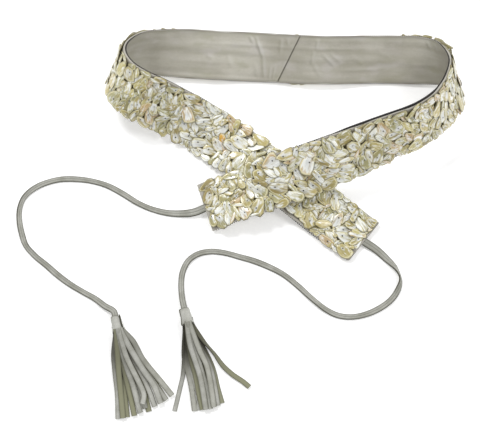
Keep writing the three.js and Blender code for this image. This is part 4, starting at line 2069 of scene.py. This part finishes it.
def through(points: Array, pitch: float) -> Array:
    """A smooth line through points, by centripetal Catmull-Rom, resampled evenly.

    Args:
        points: the points that the line passes.
        pitch: the distance between the new points.

    Returns:
        The line's points.
    """
    ends = np.vstack([2 * points[0] - points[1], points, 2 * points[-1] - points[-2]])
    line = [points[0]]
    for i in range(1, len(ends) - 2):
        a, b, c, d = ends[i - 1 : i + 3]
        k0 = 0.0
        k1 = k0 + math.sqrt(np.linalg.norm(b - a))
        k2 = k1 + math.sqrt(np.linalg.norm(c - b))
        k3 = k2 + math.sqrt(np.linalg.norm(d - c))
        for t in np.linspace(k1, k2, 13)[1:]:
            ab = a * (k1 - t) / (k1 - k0) + b * (t - k0) / (k1 - k0)
            bc = b * (k2 - t) / (k2 - k1) + c * (t - k1) / (k2 - k1)
            cd = c * (k3 - t) / (k3 - k2) + d * (t - k2) / (k3 - k2)
            low = ab * (k2 - t) / (k2 - k0) + bc * (t - k0) / (k2 - k0)
            high = bc * (k3 - t) / (k3 - k1) + cd * (t - k1) / (k3 - k1)
            line.append(low * (k2 - t) / (k2 - k1) + high * (t - k1) / (k2 - k1))
    dense = np.array(line)
    along = run_along(dense)
    count = max(2, math.ceil(along[-1] / pitch))
    even = np.linspace(0, along[-1], count + 1)
    return np.stack([np.interp(even, along, dense[:, k]) for k in range(3)], axis=1)


def ribbon(line: Array, angle: Array, across: Array, high: Array) -> Array:
    """Rings of points of a flat strip that is rolled about its middle line.

    Args:
        line: the middle line's points.
        angle: how far the strip is rolled at each of them, in radians.
        across: how far sideways each point of each ring lies.
        high: how far upwards, likewise.

    Returns:
        The rings' points.
    """
    ahead = unit(np.gradient(line, axis=0))
    sideways = unit(np.cross(ahead, UP))
    upward = np.cross(sideways, ahead)
    c, s = np.cos(angle)[:, None], np.sin(angle)[:, None]
    wide = sideways * c + upward * s
    thick = upward * c - sideways * s
    return line[:, None] + wide[:, None] * across[..., None] + thick[:, None] * high[..., None]


# Across a lace, its height there in half thicknesses, and the mask of its dark edge tone, seen on one face:
# on the edges partly the cut edge's own tone and partly painted shade, in the middle groove painted shade
LACE_FACE = (
    (-1.0, 0.35, 1.0),
    (-0.92, 0.8, 0.95),
    (-0.7, 1.0, 0.3),
    (-0.35, 1.0, 0.0),
    (-0.12, 0.92, 0.05),
    (0.0, 0.6, 0.55),
    (0.12, 0.92, 0.05),
    (0.35, 1.0, 0.0),
    (0.7, 1.0, 0.3),
    (0.92, 0.8, 0.95),
    (1.0, 0.35, 1.0),
)


@dataclass
class Tie:
    """A flat lace from a band end to a tassel, with a groove along its middle."""

    name: str
    node: str
    start: Array
    route: tuple[Stop, ...]
    head: HeadAxes
    shift: Array
    rolls: tuple[Swell, ...]
    length: float
    width: float = 5.8
    flare: Swell = Swell(middle=0, reach=34, height=0.42)
    thickness: float = 1.7
    straight: float = 6
    root: float = 1.5
    pitch: float = 1.5

    def line(self) -> Array:
        """The lace's middle line, from the band's end into the tassel's head.

        Returns:
            Its points in the part's frame.
        """
        stops = [np.array([s.x + self.shift[0], s.y + self.shift[1], s.z]) for s in self.route]
        neck = self.head.top
        points = [self.start, *stops, neck - self.head.along * self.straight]
        points.append(neck + self.head.along * self.root)
        return through(np.array(points), self.pitch)

    @staticmethod
    def free(along: Array) -> Array:
        """How freely the lace rolls: not at all at its two ends, fully from 20 mm on."""
        return smooth(along / 20) * smooth((along[-1] - along) / 20)

    def roll(self, along: Array) -> Array:
        """How far the lace is rolled over on its side.

        Args:
            along: distances along it.

        Returns:
            The angles in radians, none at both ends.
        """
        angle = 5 * np.sin(along / 17) + 4 * np.sin(along / 7.3 + 1)
        for roll in self.rolls:
            angle = angle + roll.over(along)
        return np.radians(angle) * self.free(along)

    def build(self, material: bpy.types.Material) -> tuple[bpy.types.Object, Array]:
        """Builds the lace.

        Args:
            material: its finish.

        Returns:
            The lace and its centreline in metres.
        """
        line = self.line()
        along = run_along(line)
        angle = self.roll(along)
        half = self.width / 2 * (1 + 0.04 * np.sin(along / 11) + self.flare.over(along))
        thin = self.thickness / 2
        need = 0.1 + np.abs(np.sin(angle)) * half + np.cos(angle) * thin
        raised = np.where(self.free(along) > 0.05, need, line[:, 2])
        line[:, 2] = np.maximum(line[:, 2], raised)
        profile = np.array(LACE_FACE + tuple((-a, -b, mask) for a, b, mask in LACE_FACE))
        across = profile[None, :, 0] * half[:, None]
        rings = ribbon(line, angle, across, profile[None, :, 1] * thin)
        parts = MeshParts()
        parts.add_rings(rings, along[:, None], across, rim=profile[:, 2])
        log.info("%s: %.0f mm long", self.name, along[-1])
        return parts.build(self.name, material), line * MM


# Tassels


@dataclass(frozen=True)
class Strip:
    """One strip of a tassel.

    Its way is a row of x, y points over the surface, from beside the head to its tip. Layers count
    up from the surface, and the strips of the two upper ones are cut from the head's own wall.
    """

    way: tuple[tuple[float, float], ...]
    layer: int
    twist: float = 0
    flip: float = 0.5
    reverse: bool = False
    width: float = 5.3
    curl: float = 0


LEFT_STRIPS = (
    Strip(way=((-104, -150), (-96, -172), (-89, -195)), layer=0),
    Strip(way=((-94, -148), (-82, -168), (-71, -185)), layer=0, reverse=True),
    Strip(way=((-117, -150), (-113, -176), (-108, -203)), layer=0, reverse=True),
    Strip(way=((-114, -136), (-110, -171), (-106, -203.5)), layer=0, reverse=True, twist=8),
    Strip(way=((-109, -137), (-100, -157), (-92, -175), (-85.5, -198)), layer=0, reverse=True),
    Strip(way=((-120.5, -143), (-118.5, -160.5), (-115.5, -181.5), (-114, -205)), layer=1, twist=-8),
    Strip(way=((-108.5, -164), (-104, -181), (-99, -202.5)), layer=1, reverse=True, twist=10),
    Strip(way=((-100, -150), (-92.5, -164), (-85.5, -179), (-80, -193.5)), layer=1, twist=14),
    Strip(way=((-94.5, -154), (-86, -164), (-77.5, -176.5), (-69.5, -187)), layer=1, twist=-10),
    Strip(way=((-117, -140), (-115.5, -157), (-112, -185), (-109.5, -205)), layer=2, reverse=True),
    Strip(way=((-109.5, -151), (-102, -171), (-97, -188), (-93.5, -200)), layer=2, twist=-12),
    Strip(way=((-102, -131), (-94, -145.5), (-85, -157.5), (-75, -169.5), (-64, -183)), layer=2),
    Strip(
        way=((-109, -144), (-101, -160.5), (-94.5, -173), (-90.5, -183), (-91.5, -192.5)),
        layer=3,
        twist=16,
        curl=2.5,
    ),
    Strip(
        way=((-107, -134), (-99, -147), (-90.5, -160.5), (-82, -172.5), (-74.5, -191)),
        layer=3,
        twist=-8,
        width=5.8,
    ),
)
RIGHT_STRIPS = (
    Strip(way=((-47, -128), (-41, -160), (-36.5, -195)), layer=0),
    Strip(way=((-42, -128), (-33, -155), (-26, -193)), layer=0, reverse=True),
    Strip(
        way=((-54, -143), (-54, -160.5), (-57, -176.5), (-61.5, -197.5)),
        layer=0,
        twist=62,
        width=4.2,
        flip=0.35,
    ),
    Strip(way=((-53, -146.5), (-49, -161.5), (-46, -174.5), (-42.5, -197.5)), layer=0, twist=14),
    Strip(way=((-47, -157), (-41, -174.5), (-38.5, -185), (-39, -196.5)), layer=0, twist=-10),
    Strip(way=((-28.5, -150), (-24.5, -161.5), (-21.5, -174.5), (-17, -190)), layer=0, reverse=True),
    Strip(way=((-46.5, -147), (-42, -164), (-38, -183.5), (-35, -196.5)), layer=1, reverse=True),
    Strip(way=((-38.5, -136), (-32.5, -146), (-28, -157), (-24.5, -172.5), (-21, -192.5)), layer=1),
    Strip(
        way=((-34.5, -130), (-24.5, -142), (-16.5, -153.5), (-7, -162.5), (2.5, -169), (9, -174.5)),
        layer=1,
        reverse=True,
        twist=48,
        flip=0.38,
        width=5,
    ),
    Strip(way=((-46, -133), (-39.5, -150), (-34, -167.5), (-29.5, -181.5), (-28, -196)), layer=2),
    Strip(
        way=((-48, -133), (-43, -148.5), (-38, -164), (-34.5, -181.5), (-32, -197)),
        layer=3,
        twist=-10,
    ),
    Strip(
        way=((-43, -128.5), (-37.5, -141.5), (-32, -153.5), (-28.5, -168.5), (-24.5, -194.5)),
        layer=3,
        twist=10,
    ),
)


# Across a strip, its height there in half thicknesses, the cut edge's mask (a darker tone, partly the
# edge's own and partly painted shade) and the reverse's share
STRIP_SECTION = (
    (-1.0, 0.6, 0.95, 0.2),
    (-0.84, 1.0, 0.35, 0.0),
    (-0.4, 1.12, 0.0, 0.0),
    (0.4, 1.12, 0.0, 0.0),
    (0.84, 1.0, 0.35, 0.0),
    (1.0, 0.6, 0.95, 0.2),
    (1.0, -0.6, 0.8, 0.8),
    (0.88, -1.0, 0.25, 1.0),
    (0.0, -0.88, 0.0, 1.0),
    (-0.88, -1.0, 0.25, 1.0),
    (-1.0, -0.6, 0.8, 0.8),
)


@dataclass
class Tassel:
    """A leather tassel: a rolled head and the strips that fall from it."""

    name: str
    head: HeadAxes
    strips: tuple[Strip, ...]
    shift: Array
    flap: float
    sizes: HeadSizes = field(default_factory=HeadSizes)
    thickness: float = 1.0
    layer_rise: float = 1.15
    root_depth: float = 7
    upper_root: float = 1.5
    shadows: tuple[float, ...] = (1.0, 0.75, 0.3, 0.08)
    turns: float = 1.35
    fall: float = 34
    ripple: float = 0.7
    pitch: float = 1.8

    def _head(self, parts: MeshParts) -> None:
        """Adds the head: a leather sheet rolled round the strips' roots, with its loose edge.

        Args:
            parts: the mesh that it joins.
        """
        z = self.sizes
        count = z.points
        t = np.linspace(0, 1, count)
        angle = math.radians(self.flap) - 2 * math.pi * self.turns * (1 - t)
        loose = 0.7 * smooth((t - 0.93) / 0.07)
        rings = []
        share = np.arange(z.rings) / (z.rings - 1)
        for d in share.tolist():
            radius = z.top_radius + (z.foot_radius - z.top_radius) * d ** 0.8
            radius = radius * (1 + 0.02 * math.sin(9 * d))
            spiral = radius - z.wall * z.wrap * self.turns * (1 - t) + loose
            dent = 0.16 * np.sin(3 * angle + 5 * d) + 0.08 * np.sin(7 * angle - 6 * d)
            outer, inner = spiral + dent, spiral + dent - z.wall
            around = np.concatenate([outer, inner[::-1]])
            turn = np.concatenate([angle, angle[::-1]])
            centre = self.head.top + self.head.along * z.length * d
            skew = 0.9 * (d - 0.5) * np.concatenate([t, t[::-1]])
            rings.append(
                centre
                + self.head.sideways * (around * np.cos(turn))[:, None]
                + self.head.upward * (around * np.sin(turn))[:, None]
                + self.head.along * skew[:, None]
            )
        rim = np.zeros((len(rings), 2 * count))
        rim[[0, -1]] = 0.8
        rim[:, count - 2 : count + 2] = 1
        # The cut edges take the darker edge tone; the inner face of the roll takes painted shade through
        # deep.
        parts.add_rings(
            np.array(rings),
            (share * z.length)[:, None],
            np.concatenate([t, t[::-1]]) * 40,
            rim=rim,
            reverse=0.0,
            deep=np.repeat((0.0, 0.5), count),
        )

    def _core(self, parts: MeshParts) -> None:
        """Adds the rolled roots of the strips, which fill the head.

        Args:
            parts: the mesh that they join.
        """
        z = self.sizes
        inner = z.top_radius - z.wall * self.turns * z.wrap - 0.4
        angle = np.linspace(0, 2 * math.pi, z.core_points + 1)[:-1]
        share = 0.08 + np.arange(z.core_rings) / (z.core_rings - 1) * 0.86
        rings = []
        for d in share.tolist():
            bumpy = inner * (0.9 + 0.5 * d) * (1 + 0.07 * np.cos(5 * angle))
            rings.append(
                self.head.top
                + self.head.along * z.length * d
                + self.head.sideways * (bumpy * np.cos(angle))[:, None]
                + self.head.upward * (bumpy * np.sin(angle))[:, None]
            )
        along = (share * z.length)[:, None]
        # The core, deep inside the head, is painted in shade: the edge tone at 0.4 and the deep tone at
        # 0.6.
        parts.add_rings(np.array(rings), along, angle * 2, rim=0.4, reverse=0.0, deep=0.6)

    def _strip_line(self, strip: Strip, number: int) -> Array:
        """The middle line of a strip, from its root on the head to its tip.

        Args:
            strip: its row of the table.
            number: its place in the table, which sets its small waves.

        Returns:
            The line's points.
        """
        head, z = self.head, self.sizes
        way = np.array(strip.way) + self.shift[:2]
        aside = float((way[0] - head.top[:2]) @ head.sideways[:2]) / 2.4
        reach = z.foot_radius - z.wall / 2 - 0.1
        upper = strip.layer >= 2
        aside = float(np.clip(aside, -reach * 0.8, reach * 0.8)) * (1 if upper else 0.8)
        rise = math.sqrt(reach**2 - aside**2) if upper else (strip.layer - 1.4) * self.layer_rise
        foot = head.top + head.along * z.length + head.sideways * aside + head.upward * rise
        depth = self.upper_root if upper else self.root_depth
        root = foot - head.along * depth
        if upper:
            root -= head.upward * 0.45
        flat = np.vstack([root[:2], foot[:2], way])
        rest = self.thickness / 2 + 0.1 + strip.layer * self.layer_rise
        line = through(np.column_stack([flat, np.zeros(len(flat))]), self.pitch)
        run = run_along(line)
        down = smooth((run - depth * 0.6) / self.fall)
        line[:, 2] = foot[2] + (rest - foot[2]) * down
        held = smooth((depth - run) / depth)
        line[:, 2] += (root[2] - foot[2]) * held
        t = run / run[-1]
        ripple = 0.5 + 0.5 * np.sin(2 * math.pi * (t * 1.5 + number * 0.29))
        line[:, 2] += self.ripple * ripple * smooth((t - 0.25) * 3)
        line[:, 2] += strip.curl * smooth((t - 0.8) / 0.2)
        return line

    def _strip(self, parts: MeshParts, strip: Strip, number: int) -> None:
        """Adds one strip as a closed ribbon.

        Args:
            parts: the mesh that it joins.
            strip: its row of the table.
            number: its place in the table, which sets its small waves.
        """
        line = self._strip_line(strip, number)
        t = np.linspace(0, 1, len(line))
        turn = Swell(strip.flip, 0.22).over(t) if abs(strip.twist) > 30 else smooth(t * 1.5)
        angle = np.radians(strip.twist) * turn
        angle = angle + np.radians(5 * np.sin(2 * math.pi * (1.7 * t + number * 0.3))) * smooth(t * 2)
        half, thin = strip.width / 2, self.thickness / 2
        line[:, 2] = np.maximum(line[:, 2], 0.15 + np.abs(np.sin(angle)) * half + thin)
        section = np.array(STRIP_SECTION)
        narrow = (0.86 + 0.14 * smooth(t * 3))[:, None]
        across = section[None, :, 0] * half * narrow
        shown = 1 - section[:, 3] if strip.reverse else section[:, 3]
        tone = 0.16 * math.sin(number * 2.4)
        # deep lays painted shade on the roots, most on the lower layers, fading towards the tips.
        parts.add_rings(
            ribbon(line, angle, across, section[None, :, 1] * thin),
            t[:, None] * 100,
            across,
            rim=section[:, 2],
            reverse=np.clip(shown + tone, 0, 1),
            deep=self.shadows[strip.layer] * (1 - smooth((t - 0.3) / 0.55))[:, None],
        )

    def build(self, material: bpy.types.Material) -> bpy.types.Object:
        """Builds the tassel as one joined mesh.

        Args:
            material: its finish.

        Returns:
            The finished piece.
        """
        parts = MeshParts()
        self._head(parts)
        self._core(parts)
        for number, strip in enumerate(self.strips):
            self._strip(parts, strip, number)
        return parts.build(self.name, material, sharp=55)


# The picture: camera, surface and light


@dataclass(frozen=True)
class Lamp:
    """A soft square lamp that points at the belt."""

    name: str
    place: tuple[float, float, float]
    size: float
    power: float


LAMPS = (
    Lamp(name="key", place=(-0.7, 0.6, 1.4), size=0.4, power=12.0),
    Lamp(name="fill", place=(0.9, -0.3, 1.2), size=0.5, power=5.6),
    Lamp(name="back", place=(0.3, 1.2, 0.8), size=0.5, power=4.0),
)


@dataclass
class Studio:
    """A pale surface, soft light and the camera."""

    shift: Array
    elevation: float = 67
    distance: float = 1300
    lens: float = 97.5
    sensor: float = 36
    surface_reach: float = 4.0
    surface_glow: float = 0.26
    sky: float = 0.52

    def camera(self) -> None:
        """Sets the camera at the photograph's viewing angle."""
        data = bpy.data.cameras.new("camera")
        data.lens = self.lens
        data.sensor_width = self.sensor
        data.clip_end = 100
        camera = linked("camera", data)
        rise = math.radians(self.elevation)
        target = Vector((self.shift[0], self.shift[1], 0)) * MM
        back = Vector((0, -math.cos(rise), math.sin(rise)))
        camera.location = target + back * self.distance * MM
        camera.rotation_euler = (-back).to_track_quat("-Z", "Y").to_euler()
        bpy.context.scene.camera = camera

    def surface(self) -> None:
        """Lays the pale surface under the belt."""
        size = self.surface_reach
        mesh = bpy.data.meshes.new("surface")
        corners = [(-size, -size, 0), (size, -size, 0), (size, size, 0), (-size, size, 0)]
        mesh.from_pydata(corners, [], [(0, 1, 2, 3)])
        material, sheet = new_material("pale_surface")
        place = sheet.add("ShaderNodeTexCoord").outputs["Object"]
        noise = sheet.add("ShaderNodeTexNoise", {"Vector": place, "Scale": 3.0}).outputs[0]
        colour = sheet.mix(noise, (0.93, 0.93, 0.93, 1), (0.95, 0.95, 0.95, 1))
        glow = {"Emission Color": (1, 1, 1, 1), "Emission Strength": self.surface_glow}
        shader = sheet.add(
            "ShaderNodeBsdfPrincipled", {"Base Color": colour, "Roughness": 0.9, **glow}
        )
        close_material(sheet, shader)
        mesh.materials.append(material)
        surface = linked("surface", mesh)

    def light(self) -> None:
        """Adds the soft light."""
        world = bpy.data.worlds.new("world")
        world.use_nodes = True
        sky = world.node_tree.nodes["Background"]
        sky.inputs[0].default_value = (1, 1, 1, 1)
        sky.inputs[1].default_value = self.sky
        bpy.context.scene.world = world
        for row in LAMPS:
            data = bpy.data.lights.new(row.name, "AREA")
            data.size = row.size
            data.energy = row.power
            lamp = linked(row.name, data)
            lamp.location = row.place
            lamp.rotation_euler = (-Vector(row.place)).to_track_quat("-Z", "Y").to_euler()
        bpy.context.scene.view_settings.view_transform = "Standard"


def settle(piece: bpy.types.Object, slot: str, *nodes: str) -> bpy.types.Object:
    """Puts a finished piece on the body and hides the CAD nodes that it stands in for.

    Args:
        piece: the finished piece.
        slot: the record's material slot; not used.
        nodes: the CAD nodes that it replaces.

    Returns:
        The piece.
    """
    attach(piece, BODY)
    if nodes:
        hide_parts(*nodes)
    log.info("%s: %d faces", piece.name, len(piece.data.polygons))
    return piece


def main() -> None:
    """Builds the camera, the ties with their tassels, and then the band."""
    logging.basicConfig(level=logging.INFO, format="%(name)s %(message)s")
    path = BandPath(BandSizes(), BackPose())
    studio = Studio(path.shift)
    studio.camera()
    rack = FinishRack()

    heads = HeadSizes()
    left_head = head_axes(LEFT_HEAD, heads, path.shift)
    right_head = head_axes(RIGHT_HEAD, heads, path.shift)
    left_end, right_end = path.frames(path.at[[0, -1]]).point
    ways = path.frames(path.at[[0, -1]]).along
    ties = (
        (
            Tie(
                name="lace_left",
                node="tie_left",
                start=right_end + ways[1] * TIE_GAP,
                route=LEFT_TIE_ROUTE,
                head=left_head,
                shift=path.shift,
                rolls=(Swell(middle=205, reach=26, height=58), Swell(middle=255, reach=14, height=-25)),
                length=370,
            ),
            Tassel("fringe_left", left_head, LEFT_STRIPS, path.shift, flap=35),
            "tassel_left",
        ),
        (
            Tie(
                name="lace_right",
                node="tie_right",
                start=left_end - ways[0] * TIE_GAP,
                route=RIGHT_TIE_ROUTE,
                head=right_head,
                shift=path.shift,
                rolls=(Swell(middle=52, reach=14, height=62), Swell(middle=150, reach=20, height=-22)),
                length=355,
            ),
            Tassel("fringe_right", right_head, RIGHT_STRIPS, path.shift, flap=165),
            "tassel_right",
        ),
    )
    for tie, tassel, node in ties:
        lace, line = tie.build(rack.lace)
        fringe = settle(tassel.build(rack.fringe), "lace", node)
        settle(lace, "lace", tie.node)
        tuple(line[0])

    settle(OuterLeather(path).build(rack.outer), "shell", "shell_band")
    for chips in ChipField(path).build(rack.pearl):
        settle(chips, "shell", "shell_band")
    for side in Side:
        lining = Lining(path, side).build(rack.lining)
        settle(lining, "lining", f"lining_{side.name.lower()}")
    settle(EdgeStitches(path).build(rack.thread), "lining")

    studio.surface()
    studio.light()


if __name__ == "__main__":
    main()
